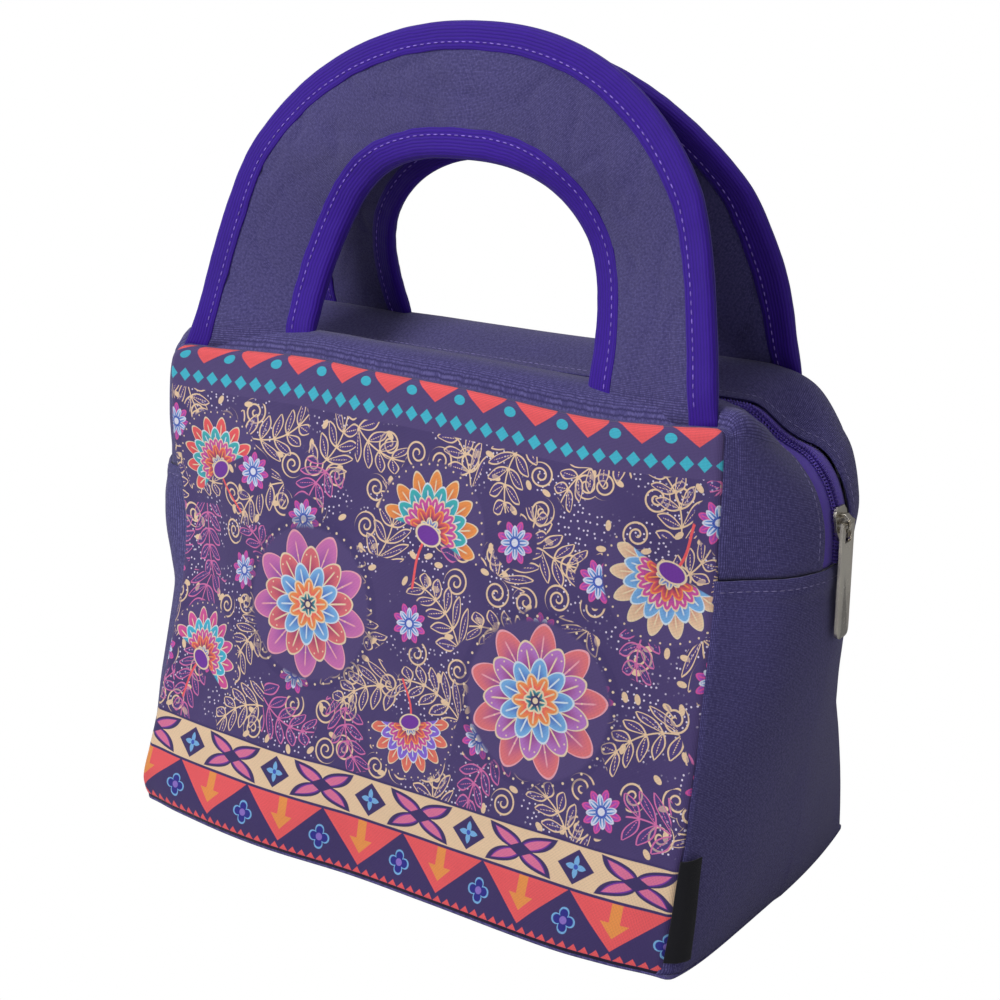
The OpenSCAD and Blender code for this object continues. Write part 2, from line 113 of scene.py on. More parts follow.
def curve(x, keys):
    """Smooth curve through the keys, level beyond both ends."""
    if x <= keys[0][0]:
        return keys[0][1]
    if x >= keys[-1][0]:
        return keys[-1][1]
    i = max(k for k in range(len(keys) - 1) if keys[k][0] <= x)
    (x0, y0), (x1, y1) = keys[i], keys[i + 1]

    def slope(k):
        if k in (0, len(keys) - 1):
            return 0
        return (keys[k + 1][1] - keys[k - 1][1]) / (keys[k + 1][0] - keys[k - 1][0])

    h, t = x1 - x0, (x - x0) / (x1 - x0)
    rise = (2 * t**3 - 3 * t**2 + 1) * y0 + (3 * t**2 - 2 * t**3) * y1
    return rise + (t**3 - 2 * t**2 + t) * h * slope(i) + (t**3 - t**2) * h * slope(i + 1)


def front_y(z):
    return -HALF_DEPTH + LEAN * min(z, TOP)


def half_width(z):
    return HALF_BASE - NARROW * z


# ---------------------------------------------------------------- how the soft bag sits

# Keys are heights or widths, and shifts, in millimetres.
LEFT_PULL = (
    (0, 2), (3, 0.5), (8, -1.5), (20, 0.2), (42, 3.4), (60, 4.6), (90, 4.8), (110, 4.4), (119, 2.6),
    (129, -1.5), (140, -4.3), (164, -6.2), (178, -7), (184, -6), (188, -4.5), (193, -1.6), (200, -0.4), (208, 0),
)
LEFT_PUFF = ((86, 0), (97, 3.4), (110, 8.4), (121, 10.2), (131, 8.8), (143, 5.4), (158, 5.4), (175, 5), (188, 3.4), (204, 0))
EDGE_BACK = ((0, 0), (40, 1), (62, 2.6), (85, 4.6), (104, 6), (119, 7.2), (132, 7.4), (150, 4), (175, 1), (188, 0))
TOP_WAVE = ((-125, -1), (-58, 2), (-22, 0.8), (24, -0.7), (67, -3), (100, -1.4), (122, 0.6))
SHOULDER_DROP = (
    (-38, 0), (-32, 1.6), (-25, 4.4), (-16, 5.6), (-8, 4.8), (-3, 4.2), (3, 4.2), (9, 4.2), (18, 2.6), (36, 1.6), (44, 1.6),
)
SLIDER = Vector((ZIP_X, 0, 151 * MM))
SLIDER_STOP = Vector((ZIP_X - 42 * MM, 0, 187 * MM))


def ripple(p, size, amount, seed=0):
    return noise.noise_vector(p / size + Vector((seed, 7.3 * seed, 0))) * amount


def drape(p):
    """Moves a point of any layer of the bag as the soft walls puff, sag and pull."""
    x, y, z = p / MM
    depth = y - front_y(p.z) / MM
    behind = -y - front_y(p.z) / MM
    front = 1 - step(0, 34, depth)
    back = 1 - step(0, 34, behind)
    high = 1 - step(196, 240, z)
    side = step(66, 122, abs(x)) ** 1.4
    move = Vector()
    if x < 0:
        move.x += curve(z, LEFT_PULL) * step(55, 118, -x) * (1 - step(0, 7, depth)) * high
    move.y += curve(z, EDGE_BACK) * side * (front - 0.7 * back)
    move.z += curve(x, TOP_WAVE) * step(150, 186, z) * front * high
    by_zip = 1 - step(10, 26, abs(y))
    shoulder = step(98 + 11 * by_zip, 118 + 6 * by_zip, x) * step(162, 184, z) * high
    move.z -= curve(y, SHOULDER_DROP) * shoulder * (1 - 0.6 * step(126, 138, x))
    move.x -= 1.2 * step(8, 34, y) * shoulder
    low = 1 - step(-20, 74, z)
    move.y += (behind_lobes(x) * back - front_lobes(x) * front) * low
    share = min(abs(y) / (70 if y > 0 else 76), 1)
    move.x += math.copysign(6.4 if y > 0 else 5.8, x) * low * step(96, 125, abs(x)) * (1 - share ** (2.2 if y > 0 else 6))
    if x < 0:
        puff = step(0, 5, depth) * (1 - step(14, 36, depth))
        move.x -= curve(z, LEFT_PUFF) * puff * step(100, 118, -x)
    belly = (1 - step(40, 124, abs(x))) * math.sin(PI * min(max(z / 188, 0), 1)) ** 1.5
    move.y += 2.4 * belly * (back - front) * (1 - step(186, 200, z))
    calm = step(12, 46, (p - SLIDER).length / MM) * step(0, 14, z) * high
    calm *= (1 - 0.6 * step(180, 190, z)) * step(8, 30, (p - SLIDER_STOP).length / MM)
    move += (ripple(p / MM, 62, 1.1) + ripple(p / MM, 24, 0.35, 3)) * calm
    return p + move * MM


def front_lobes(x):
    """How far the foot of the front bulges, at x millimetres from the middle."""
    return curve(x, ((-125, 0), (-106, 3.4), (-75, 7), (-50, 7.6), (-12, 5), (24, 5.6), (80, 7.2), (104, 4.4), (122, 0.8)))


def behind_lobes(x):
    return curve(x, ((-124, 0.5), (-84, 5), (-30, 4), (30, 5.5), (84, 4.5), (124, 0.5)))


def tuck(d, deep=1.5, width=2.6):
    """How far a sewn edge turns in, at distance d from the seam."""
    return deep * MM * max(0, 1 - d / (width * MM)) ** 2


# ---------------------------------------------------------------- surfaces of the bag

FRONT_CORNERS, BACK_CORNERS = (7 * MM, 3 * MM), (9 * MM, 14 * MM)


def panel(u, v, corners=FRONT_CORNERS):
    """Front panel. u runs from left to right and v from the base to the top seam."""
    z = TOP * (v + 1) / 2
    r = corners[u > 0]
    wide = half_width(z)
    low_r = 4 * MM
    if z > TOP - r:
        wide -= r - math.sqrt(max(r * r - (z - TOP + r) ** 2, 0))
    if z < low_r:
        wide -= low_r - math.sqrt(max(low_r**2 - (low_r - z) ** 2, 0))
    wide -= max(0, 1 - z / (48 * MM)) * (3.4 * MM if u > 0 else 0)
    edge = min((1 - abs(u)) * wide, z, TOP - z)
    return Vector((u * wide, front_y(z) + tuck(edge), z))


def back_panel(u, v):
    return panel(u, v, BACK_CORNERS)


ROUND = 1.8
ZIP_SHARE = ZIP_HALF / (HALF_DEPTH * 0.68)
SWELL = ZIP_X - half_width(FOLD)


def swell(v):
    v = max(v, 0)
    return (1 - max(lerp(1, ZIP_SHARE, v), 0) ** ROUND) / (1 - ZIP_SHARE**ROUND)


def path_point(w0, w1, top, r, d):
    """Point at distance d up one side, round a corner and along the top: across, height, facing."""
    a = top - r - FOLD
    b = a + r * PI / 2
    if d < a:
        return lerp(w0, w1, d / a), FOLD + d, 0
    if d < b:
        turn = (d - a) / r
        return w1 - r + r * math.cos(turn), top - r + r * math.sin(turn), turn
    return w1 - r - (d - b), top, PI / 2


def half_run(w, top, r):
    return top - r - FOLD + r * PI / 2 + w - r


def rim(t, r):
    top_w = half_width(TOP)
    return path_point(half_width(FOLD), top_w, TOP, r, t * half_run(top_w, TOP, r))


def zip_line(t, inset=0.0):
    w, top, r = ZIP_X - inset, ZIP_TOP - inset, ZIP_R - inset
    return path_point(w, w, top, r, t * half_run(w, top, r))


CREST = 9 * MM
LEDGE = 0.1
LIP = 4 * MM
RUN_GAP = 5.4 * MM


def arch(v):
    s = max(v - LEDGE, 0) / (1 - LEDGE)
    return s**0.5 * (1 - s) ** 1.3 / 0.345


def gap(t, side_gap):
    """Half the width of the zipper that shows. The edges close over it beyond the slider's run."""
    return lerp(lerp(side_gap, RUN_GAP, step(0.2, 0.34, t)), LIP, step(0.45, 0.55, t))


def strip(u, v, puff=0.0, flank=0.0, side_gap=ZIP_HALF, corners=FRONT_CORNERS):
    """Top strip. u runs from the left seam over the top to the right seam, v from panel to zipper."""
    side = -1 if u < 0 else 1
    v = (v + 1) / 2
    t = 1 - abs(u)
    a, b = rim(t, corners[u > 0]), zip_line(t)
    facing = (a[2] + b[2]) / 2
    wide, tall = math.cos(facing), math.sin(facing)
    out = SWELL * (swell(v) - v) * wide**2 + CREST * arch(v) * tall**2
    out -= tuck(v * 36 * MM) + tuck((1 - v) * 36 * MM, 0.5, 1.2)
    out += (puff * wide * tall + flank * step(0, 0.1, t) * (1 - step(0.18, 0.29, t))) * math.sin(PI * v)
    out += 1.3 * MM * step(0.2, 0.34, t) * v**6
    low = lerp(a[1], b[1], v) - FOLD
    out -= 0.9 * MM * (1 - step(0, 5 * MM, low)) * (1 - 0.5 * step(0.8, 1, v))
    return Vector((
        side * (lerp(a[0], b[0], v) + out * wide),
        lerp(front_y(a[1]) + FABRIC, -gap(t, side_gap), v),
        lerp(a[1], b[1], v) + out * tall,
    ))


def fair_strip(u, v):
    return strip(u, v, 5 * MM, 0, ZIP_HALF + 0.6 * MM)


def full_strip(u, v):
    return strip(u, v, 5 * MM, 3 * MM, ZIP_HALF + 2.6 * MM, BACK_CORNERS)


def fall(z):
    return max(math.sin(PI / 2 * z / FOLD), 0) ** 0.9


def side_wall(u, v):
    """Right side panel. u runs from the front seam to the back seam, v from the base to the cross seam."""
    z = lerp(0.3 * MM, FOLD, (v + 1) / 2)
    edge = -front_y(z) - FABRIC * 0.6
    y = u * edge
    run = edge - abs(y)
    w = run / (edge - ZIP_HALF)
    w = min(w, 1 + (w - 1) * (1 - step(FOLD - 26 * MM, FOLD - 9 * MM, z)))
    x = half_width(z) + SWELL * fall(z) * swell(w) - tuck(run) - tuck(z)
    x -= max(0, 1 - z / (48 * MM)) * 3.4 * MM * max(0, 1 - run / (7 * MM)) ** 2
    x += 0.7 * MM * step(FOLD - 9 * MM, FOLD - 6 * MM, z) * (1 - 0.8 * step(FOLD - 1.2 * MM, FOLD, z))
    return Vector((x, y, z))


# ---------------------------------------------------------------- making the pieces

def crowded(t, k=0.72):
    """Brings grid lines closer together near both edges."""
    return (1 - k) * t + k * math.sin(PI / 2 * t)


def finish_mesh(bm, name, body=None, smooth=True):
    mesh = bpy.data.meshes.new(name)
    bm.to_mesh(mesh)
    bm.free()
    if smooth:
        mesh.shade_smooth()
    made = bpy.data.objects.new(name, mesh)
    bpy.context.scene.collection.objects.link(made)
    if body:
        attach(made, body)
    return made


def thicken(made, thick):
    solid = made.modifiers.new("thickness", "SOLIDIFY")
    solid.thickness = thick
    solid.offset = -1
    return made


laid = {}


def cloth(name, place, cols, rows, cut, depth=0.0, thick=FABRIC, back=False, left=False, span=(-1, 1, -1, 1), k=(0.72, 0.72)):
    """A cut piece of cloth, foam or lining, laid on the surface that place(u, v) gives, depth below it."""
    bm = bmesh.new()
    uv = bm.loops.layers.uv.new("cut")
    bmesh.ops.create_grid(bm, x_segments=cols, y_segments=rows, size=1)
    for vert in bm.verts:
        u, v = crowded(vert.co.x, k[0]), crowded(vert.co.y, k[1])
        vert.co = (lerp(span[0], span[1], (u + 1) / 2), lerp(span[2], span[3], (v + 1) / 2), 0)
    for face in bm.faces:
        for loop in face.loops:
            loop[uv].uv = (loop.vert.co.x * cut[0] / 2, loop.vert.co.y * cut[1] / 2)
    for vert in bm.verts:
        vert.co = place(vert.co.x, vert.co.y)
    laid[name] = sum(face.calc_area() for face in bm.faces)
    for vert in bm.verts:
        p = vert.co.copy()
        vert.co = drape(Vector((-p.x if left else p.x, -p.y if back else p.y, p.z)))
    if back != left:
        bmesh.ops.reverse_faces(bm, faces=bm.faces)
    if depth:
        bm.normal_update()
        for vert in bm.verts:
            vert.co -= vert.normal * depth
    return thicken(finish_mesh(bm, name), thick)


def bends(made):
    """The piece is sewn to the lower bag. Its placing is baked into its mesh."""
    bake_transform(made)
    return made


def sewn(made, width, length):
    """A cut piece of cloth, held stretched in its seams. It looks up the piece's area before the bag puffs and sags,
    and does nothing more with it.
    """
    area = laid.get(made.name, width * length)
    min(area, width * length)
    return made


SIDES = ("front", "back")
PANEL_CUT = (2 * HALF_BASE, TOP / math.cos(math.atan(LEAN)))
STRIP_CUT = (2 * half_run(ZIP_X, ZIP_TOP, ZIP_R), 38 * MM)
WALL_CUT = (2 * HALF_DEPTH + 10 * MM, FOLD)
pieces, slots = {}, {}


def add(name, made, slot, *nodes):
    slots[name] = slot
    if nodes:
        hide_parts(*nodes)
    pieces[name] = made
    return made


for side in SIDES:
    back = side == "back"
    slot = "plain_fabric" if back else "printed_fabric"
    flat = back_panel if back else panel
    made = cloth(f"{side}_panel", flat, 110, 88, PANEL_CUT, back=back)
    add(f"{side}_panel", bends(sewn(made, *PANEL_CUT)), slot, f"{side}_panel_lower", f"{side}_panel_upper")
    made = cloth(f"{side}_foam", flat, 60, 48, PANEL_CUT, FABRIC, FOAM - 0.3 * MM, back, span=(-0.975, 0.975, -0.97, 0.965))
    add(f"{side}_foam", bends(made), "foam", f"{side}_foam_lower", f"{side}_foam_upper")
    made = cloth(f"{side}_lining", flat, 60, 48, PANEL_CUT, FABRIC + FOAM, LINING, back, span=(-0.97, 0.97, -0.94, 0.96))
    add(f"{side}_lining", bends(sewn(made, *PANEL_CUT)), "lining", f"{side}_lining_lower", f"{side}_lining_upper")
    place = full_strip if back else fair_strip
    made = cloth(f"{side}_strip", place, 220, 30, STRIP_CUT, back=back, k=(0, 0.72))
    add(f"{side}_strip", bends(sewn(made, *STRIP_CUT)), "plain_fabric", f"{side}_top_strip")
    made = cloth(f"{side}_strip_padding", place, 150, 12, STRIP_CUT, FABRIC, FOAM - 0.3 * MM, back, span=(-0.985, 0.985, -0.5, 0.62), k=(0, 0.5))
    add(f"{side}_strip_padding", bends(made), "foam", f"{side}_strip_foam")
    made = cloth(f"{side}_strip_inside", place, 150, 14, STRIP_CUT, FABRIC + FOAM, LINING, back, span=(-0.99, 0.99, -0.6, 0.72), k=(0, 0.5))
    add(f"{side}_strip_inside", bends(sewn(made, *STRIP_CUT)), "lining", f"{side}_strip_lining")

for end in ("right", "left"):
    left = end == "left"
    made = cloth(f"{end}_side", side_wall, 96, 64, WALL_CUT, left=left)
    add(f"{end}_side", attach(sewn(made, *WALL_CUT), "bag"), "plain_fabric", f"side_panel_{end}")
    made = cloth(f"{end}_side_padding", side_wall, 48, 36, WALL_CUT, FABRIC, FOAM - 0.3 * MM, left=left, span=(-0.86, 0.86, -0.97, 0.985))
    add(f"{end}_side_padding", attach(made, "bag"), "foam", f"side_foam_{end}")
    made = cloth(f"{end}_side_inside", side_wall, 48, 36, WALL_CUT, FABRIC + FOAM, LINING, left=left, span=(-0.84, 0.84, -0.95, 0.985))
    add(f"{end}_side_inside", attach(sewn(made, *WALL_CUT), "bag"), "lining", f"side_lining_{end}")


def base_cloth(u, v):
    r = 4 * MM
    x, y = u * (HALF_BASE - 0.4 * MM), v * (HALF_DEPTH - 0.4 * MM)
    over_x, over_y = abs(x) - HALF_BASE + r, abs(y) - HALF_DEPTH + r
    if over_x > 0 and over_y > 0:
        far = math.hypot(over_x, over_y)
        if far > r:
            x -= math.copysign(over_x * (1 - r / far), x)
            y -= math.copysign(over_y * (1 - r / far), y)
    return Vector((x, y, 0))


BASE_CUT = (2 * HALF_BASE, 2 * HALF_DEPTH)
made = cloth("base", base_cloth, 60, 40, BASE_CUT, thick=FABRIC)
bpy.context.view_layer.update()
for vert in made.data.vertices:
    vert.co.z = max(vert.co.z, 0)
made.data.flip_normals()
add("base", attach(sewn(made, *BASE_CUT), "bag"), "plain_fabric", "base_panel")


def base_layer(node, plump):
    """Surface over one of the base's own layers, plumped up in the middle and a little uneven."""
    low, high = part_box(node)

    def place(u, v):
        full = (1 - abs(u) ** 5) * (1 - abs(v) ** 5)
        pucker = noise.noise(Vector((u * 7, v * 5, 2.7))) + 0.5 * noise.noise(Vector((u * 19, v * 13, 6.1)))
        return Vector((u * high.x, v * high.y, high.z + plump * full * (1 + 0.45 * pucker)))
    return place, (high.x - low.x, high.y - low.y)


flat, cut = base_layer("base_foam", 0.5 * MM)
made = cloth("base_padding", flat, 30, 20, cut, thick=0.92 * FOAM)
add("base_padding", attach(made, "bag"), "foam", "base_foam")
flat, cut = base_layer("base_lining", 0.9 * MM)
made = cloth("base_inside", flat, 90, 60, cut, thick=LINING)
add("base_inside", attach(sewn(made, *cut), "bag"), "lining", "base_lining")

# ---------------------------------------------------------------- handles


def edge_line(t, outer):
    """Edge of the handle in its own plane at angle t, from the right foot to the left one."""
    a, h, n = (HANDLE_A, HANDLE_H, 2.2) if outer else (GRIP_A, GRIP_H, 2.65)
    c, s = math.cos(t), max(math.sin(t), 0)
    across, high = a * math.copysign(abs(c) ** (2 / n), c), h * s ** (2 / n)
    if outer:
        across -= math.copysign(3 * MM * math.sin(PI * min(high / (76 * MM), 1)) * min(abs(c) * 3, 1), c)
    return Vector((across, high))


def inset(t, outer, d):
    """Point at distance d in from that edge, and the share of the way across the band."""
    e = 0.004
    run = edge_line(min(t + e, PI), outer) - edge_line(max(t - e, 0), outer)
    inward = Vector((-run.y, run.x)).normalized() * (1 if outer else -1)
    p = edge_line(t, outer) + inward * d
    width = (edge_line(t, True) - edge_line(t, False)).length
    return p, (1 - d / width if outer else d / width)


CUP = ((0, 4), (3, 6), (30, 10), (52, 10.6), (68, 6), (80, 0.6), (90, 0))


def hang(side):
    """Middle of the handle's foot and the handle's lean, from the frame."""
    _, y, z = joints[f"{side}_handle_swing"]["pos_m"]
    a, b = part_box(f"{side}_handle_outer_binding")
    wide, tall, t = (b - a).y, (b - a).z, 2 * HALF_BIND
    lean = math.asin((HANDLE_H * wide - t * tall) / (HANDLE_H**2 - t**2))
    return -abs(y) + HALF_BIND * math.cos(lean), z - HALF_BIND * math.sin(lean), lean, side == "back"


def stand(p, across, off, foot):
    """Puts a point of the handle's plane in the bag's frame. off is its height above the middle plane."""
    foot_y, foot_z, lean, back = foot
    h, x = p.y, p.x
    if back:
        x *= 1 - 0.028 * (1 - step(5 * MM, 45 * MM, h)) - 0.02 * step(70 * MM, 110 * MM, h)
        h *= 1 - 0.026 * step(20 * MM, 110 * MM, h)
    else:
        x -= 2.5 * MM * step(20 * MM, 100 * MM, -x)
    h -= 3 * MM * (1 - step(0, 9 * MM, h))
    off *= lerp(0.32, 1, step(-3 * MM, 13 * MM, h))
    cup = curve(h / MM, CUP) * MM * (1 - min(max(across, 0), 1)) ** 1.2
    y = foot_y + h * math.sin(lean) - off * math.cos(lean) + cup
    y += 1.2 * MM * step(0, 10 * MM, -h + 8 * MM)
    return Vector((x, y, foot_z + h * math.cos(lean) + off * math.sin(lean)))


def band_point(u, w, off, lean):
    """u runs from the left foot to the right one, w from the inner edge to the outer one."""
    t = PI * (1 - u) / 2
    p = lerp(edge_line(t, False), edge_line(t, True), w)
    return stand(p, w, off, lean)


ARCH_CUT = (440 * MM, 56 * MM)


def handle_cloth(name, lean, front_face, span, off, thick, back, rows=24, puff=1.1 * MM):
    """One layer of the handle between its bindings."""
    def place(u, v):
        w = (v + 1) / 2
        full = 1 - abs(v / span[3]) ** 3
        rise = puff * full * (0.7 + 0.3 * math.sin(9 * u + 3 * w) * math.sin(5 * u * w + 1))
        fold = noise.noise(Vector((u * 7 + w * 1.6, w * 2.4 - u * 2.2, 4 if back else 1)))
        rise -= min(puff, 1.1 * MM) * full * max(0, 1 - abs(fold) * 7) ** 2
        p = band_point(u, w, off + (rise if front_face else -rise), lean)
        return p
    made = cloth(name, place, 150, rows, ARCH_CUT, thick=thick, back=back, span=span, k=(0, 0.5))
    if not front_face:
        made.data.flip_normals()
    return made


def binding(name, outer, lean, back):
    """Ribbed tape folded over one edge of the handle."""
    nose = PI * BAND / 2
    flat = BIND - BAND

    def place(u, v):
        t = PI * (1 - u) / 2
        run = abs(v) * (nose + flat)
        if run < nose:
            d, off = BAND - BAND * math.cos(run / BAND), BAND * math.sin(run / BAND)
        else:
            d, off = BAND + run - nose, BAND
        d += 0.35 * MM * noise.noise(Vector((u * 22, v * 0.4, 5 if outer else 9))) * min(run / BIND, 1)
        off += 0.3 * MM * noise.noise(Vector((u * 30, v, 2)))
        p, across = inset(t, outer, d)
        return stand(p, across, math.copysign(off, v * (-1 if outer else 1)), lean)

    length = 2 * (HANDLE_H + HANDLE_A) * 0.86 if outer else 2 * (GRIP_H + GRIP_A) * 0.86
    cut = (length, 2 * (nose + flat))
    made = cloth(name, place, 190 if outer else 130, 22, cut, thick=0.7 * MM, back=back, k=(0, 0))
    return made, cut


def thread(name, body, points, pitch=3.1 * MM, length=1.9 * MM, size=0.24 * MM):
    """A row of stitches along a line of points."""
    places = []
    due = pitch / 2
    for a, b in zip(points, points[1:]):
        gap = (b - a).length
        while due < gap:
            turn = (b - a).to_track_quat("X", "Z").to_matrix().to_4x4()
            places.append(Matrix.Translation(a.lerp(b, due / gap)) @ turn)
            due += pitch
        due -= gap
    return beads(name, body, places, (length / 2, size, size), 6, 4)


def beads(name, body, places, half, rings=8, rows=5):
    """Many small rounded shapes in one piece."""
    bm = bmesh.new()
    turn = Matrix.Diagonal((*half, 1)) @ Matrix.Rotation(PI / 2, 4, "Y")
    bmesh.ops.create_uvsphere(bm, u_segments=rings, v_segments=rows, radius=1, matrix=turn)
    verts = [v.co.copy() for v in bm.verts]
    faces = [[v.index for v in f.verts] for f in bm.faces]
    bm.free()
    mesh = bpy.data.meshes.new(name)
    mesh.from_pydata(
        [place @ v for place in places for v in verts], [],
        [[k * len(verts) + i for i in f] for k in range(len(places)) for f in faces],
    )
    mesh.shade_smooth()
    made = bpy.data.objects.new(name, mesh)
    bpy.context.scene.collection.objects.link(made)
    if body:
        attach(made, body)
    return made


def swings(made, side, foot=True):
    """The handle's foot stays in the top seam. The piece's placing is baked into its mesh."""
    sign = -1 if side == "front" else 1
    y = -sign * hang(side)[0]
    y - sign * 3 * MM
    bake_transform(made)
    return made


def line_on_band(outer, d, off, lean, back, n=240):
    """Points of a stitch line at distance d from the handle's edge."""
    found = []
    for i in range(n + 1):
        t = PI * (0.012 + 0.976 * i / n)
        p, across = inset(t, outer, d)
        p = stand(p, across, off, lean)
        found.append(drape(Vector((p.x, -p.y if back else p.y, p.z))))
    return found


for side in SIDES:
    back = side == "back"
    lean = hang(side)
    span = (-1, 1, 0.13 * 2 - 1, 1 - 0.13 * 2)
    made = handle_cloth(f"{side}_handle_outside", lean, True, span, 2.15 * MM, 0.6 * MM, back)
    add(f"{side}_handle_outside", swings(sewn(made, *ARCH_CUT), side), "plain_fabric", f"{side}_handle_face")
    made = handle_cloth(f"{side}_handle_inside", lean, False, span, -2.15 * MM, 0.6 * MM, back)
    add(f"{side}_handle_inside", swings(sewn(made, *ARCH_CUT), side), "plain_fabric", f"{side}_handle_backing")
    made = handle_cloth(f"{side}_handle_pad", lean, True, (-0.86, 0.86, -0.9, 0.9), 1.45 * MM, 2.9 * MM, back, 10, 0)
    add(f"{side}_handle_pad", swings(made, side), "foam", f"{side}_handle_core")
    for outer, edge in ((True, "outer"), (False, "inner")):
        made, cut = binding(f"{side}_{edge}_binding", outer, lean, back)
        add(f"{side}_{edge}_binding", swings(sewn(made, *cut), side), "binding", f"{side}_handle_{edge}_binding")
        for face, off in (("face", BAND + 0.12 * MM), ("reverse", -BAND - 0.12 * MM)):
            row = thread(f"{side}_{edge}_stitches_{face}", None, line_on_band(outer, BIND - 2.7 * MM, off, lean, back))
            add(row.name, swings(row, side), "binding")

# ---------------------------------------------------------------- zipper


def zip_point(u, y, height):
    """Point of the zipper above or below the strips' edge."""
    side = -1 if u < 0 else 1
    x, z, facing = zip_line(1 - abs(u), -height)
    return Vector((side * x, y, z))


TAPE_CUT = (STRIP_CUT[0], 14 * MM)
SEWN_Y, FREE_Y = -ZIP_HALF - 4.4 * MM, -1.05 * MM
COIL_Y = 1.75 * MM
TAPE_IN = 0.75 * MM
ENDS = [(k, e) for k in ("tape", "coil") for e in ("right", "left")]


def zip_tape(u, v):
    y = lerp(SEWN_Y, FREE_Y, (v + 1) / 2)
    under = max(-y - 7 * MM, 0)
    return zip_point(u, y, -TAPE_IN - 0.3 * under + 0.12 * MM * noise.noise(Vector((u * 40, v, 1))))


def coil(name, back):
    """Row of nylon loops sewn along the tape's edge."""
    places = []
    pitch = 1.25 * MM
    count = int(STRIP_CUT[0] / pitch)
    for i in range(count):
        u = 2 * (i + (0.5 if back else 0)) / count - 1
        middle = zip_point(u, -COIL_Y, 0.5 * MM - TAPE_IN)
        ahead = zip_point(u + 0.002, -COIL_Y, 0.5 * MM - TAPE_IN) - middle
        if back:
            middle.y = -middle.y
        turn = ahead.to_track_quat("X", "Y").to_matrix().to_4x4()
        lean_in = Matrix.Rotation(0.22 if back else -0.22, 4, "Z")
        places.append(Matrix.Translation(drape(middle)) @ turn @ lean_in)
    return beads(name, None, places, (0.44 * MM, 1.5 * MM, 0.72 * MM))


def zip_row(y, height, back, n=300):
    sign = -1 if back else 1
    row = [zip_point(-1 + 2 * (i + 0.5) / n, y, height) for i in range(n)]
    return [drape(Vector((p.x, p.y * sign, p.z))) for p in row]


for side in SIDES:
    back = side == "back"
    made = cloth(f"{side}_tape", zip_tape, 220, 8, TAPE_CUT, thick=0.6 * MM, back=back, k=(0, 0))
    ends = [f"{side}_tape_end_{e}" for e in ("right", "left")]
    add(f"{side}_tape", bends(sewn(made, *TAPE_CUT)), "zip_tape", f"{side}_zip_tape", *ends)
    ends = [f"{side}_coil_end_{e}" for e in ("right", "left")]
    add(f"{side}_coil", bends(coil(f"{side}_coil", back)), "zip_coil", f"{side}_zip_coil", *ends)
    for k, y in enumerate((-1.5 * MM, -2.7 * MM)):
        row = thread(f"{side}_coil_stitches_{k}", None, zip_row(y, (1.25 - 0.3 * k) * MM - TAPE_IN, back), 1.5 * MM, 1.2 * MM, 0.17 * MM)
        add(row.name, bends(row), "zip_tape")


def on_sheet(place, line, lift, back=False, left=False):
    """Draped points of a line drawn on a surface as (u, v) pairs, raised by lift."""
    found = []
    for u, v in line:
        p = place(u, v)
        e = 0.01
        normal = (place(u + e, v) - place(u - e, v)).cross(place(u, v + e) - place(u, v - e)).normalized()
        p += normal * lift
        found.append(drape(Vector((-p.x if left else p.x, -p.y if back else p.y, p.z))))
    return found


for side in SIDES:
    back = side == "back"
    line = [(-0.985 + 1.97 * i / 400, 1 - 2 * 3 / 36) for i in range(401)]
    row = thread(f"{side}_top_stitches", None, on_sheet(full_strip if back else fair_strip, line, 0.05 * MM, back), 2.7 * MM, 1.9 * MM, 0.17 * MM)
    add(row.name, bends(row), "plain_fabric")
for end in ("right", "left"):
    line = [(-0.985 + 1.97 * i / 200, 1 - 2 * 4 / 136) for i in range(201)]
    row = thread(f"{end}_hem_stitches", "bag", on_sheet(side_wall, line, 0.05 * MM, left=end == "left"), 3 * MM, 2.1 * MM, 0.18 * MM)
    add(row.name, row, "plain_fabric")

# ---------------------------------------------------------------- slider and pull tab


def square_off(bm):
    """Fills out the half round at the end of the pull tab to a flatter end with rounded corners."""
    r = max(v.co.y for v in bm.verts)
    middle = min(v.co.z for v in bm.verts) + r
    for vert in bm.verts:
        c, s = vert.co.y / r, (middle - vert.co.z) / r
        far = math.hypot(c, s)
        if s > 0 and far > 0.5:
            vert.co.y = math.copysign(abs(c / far) ** 0.55, c) * far * r
            vert.co.z = middle - (s / far) ** 0.55 * far * r


def softened(node, body, bevel):
    """The cast part with its sharp edges rounded."""
    bm = bmesh.new()
    bm.from_mesh(bpy.data.objects[node].data)
    bmesh.ops.remove_doubles(bm, verts=bm.verts, dist=0.002 * MM)
    bmesh.ops.dissolve_limit(bm, angle_limit=0.02, verts=bm.verts, edges=bm.edges)
    if node == "pull_tab":
        square_off(bm)
    sharp = [e for e in bm.edges if len(e.link_faces) == 2 and e.calc_face_angle() > 0.5]
    bmesh.ops.bevel(bm, geom=sharp, offset=bevel, segments=3, affect="EDGES", clamp_overlap=True)
    made = finish_mesh(bm, f"{node}_cast", body)
    made.data.set_sharp_from_angle(angle=0.6)
    return made


for part, body, bevel in (
    ("slider_body", "slider", 0.22 * MM), ("slider_crown", "slider", 0.15 * MM),
    ("lock_pawl", "slider", 0.06 * MM), ("pull_tab", "pull_tab", 0.28 * MM),
):
    add(f"{part}_cast", softened(part, body, bevel), "nickel", part)

# ---------------------------------------------------------------- label and inner seams


def label_cloth(u, v):
    """Blank folded label, sewn in at the front right seam and lying on the side."""
    z = lerp(6, 42, (v + 1) / 2) * MM
    s = (u + 1) / 2
    w = s * 6.8 * MM / -front_y(z)
    p = side_wall(w - 1, 2 * z / FOLD - 1)
    out = (0.5 + 0.7 * math.sin(PI * s) + 0.9 * s) * MM
    p.x += out + 1.4 * MM * (1 - s) ** 3
    p.y -= 0.9 * MM * (1 - s)
    return p


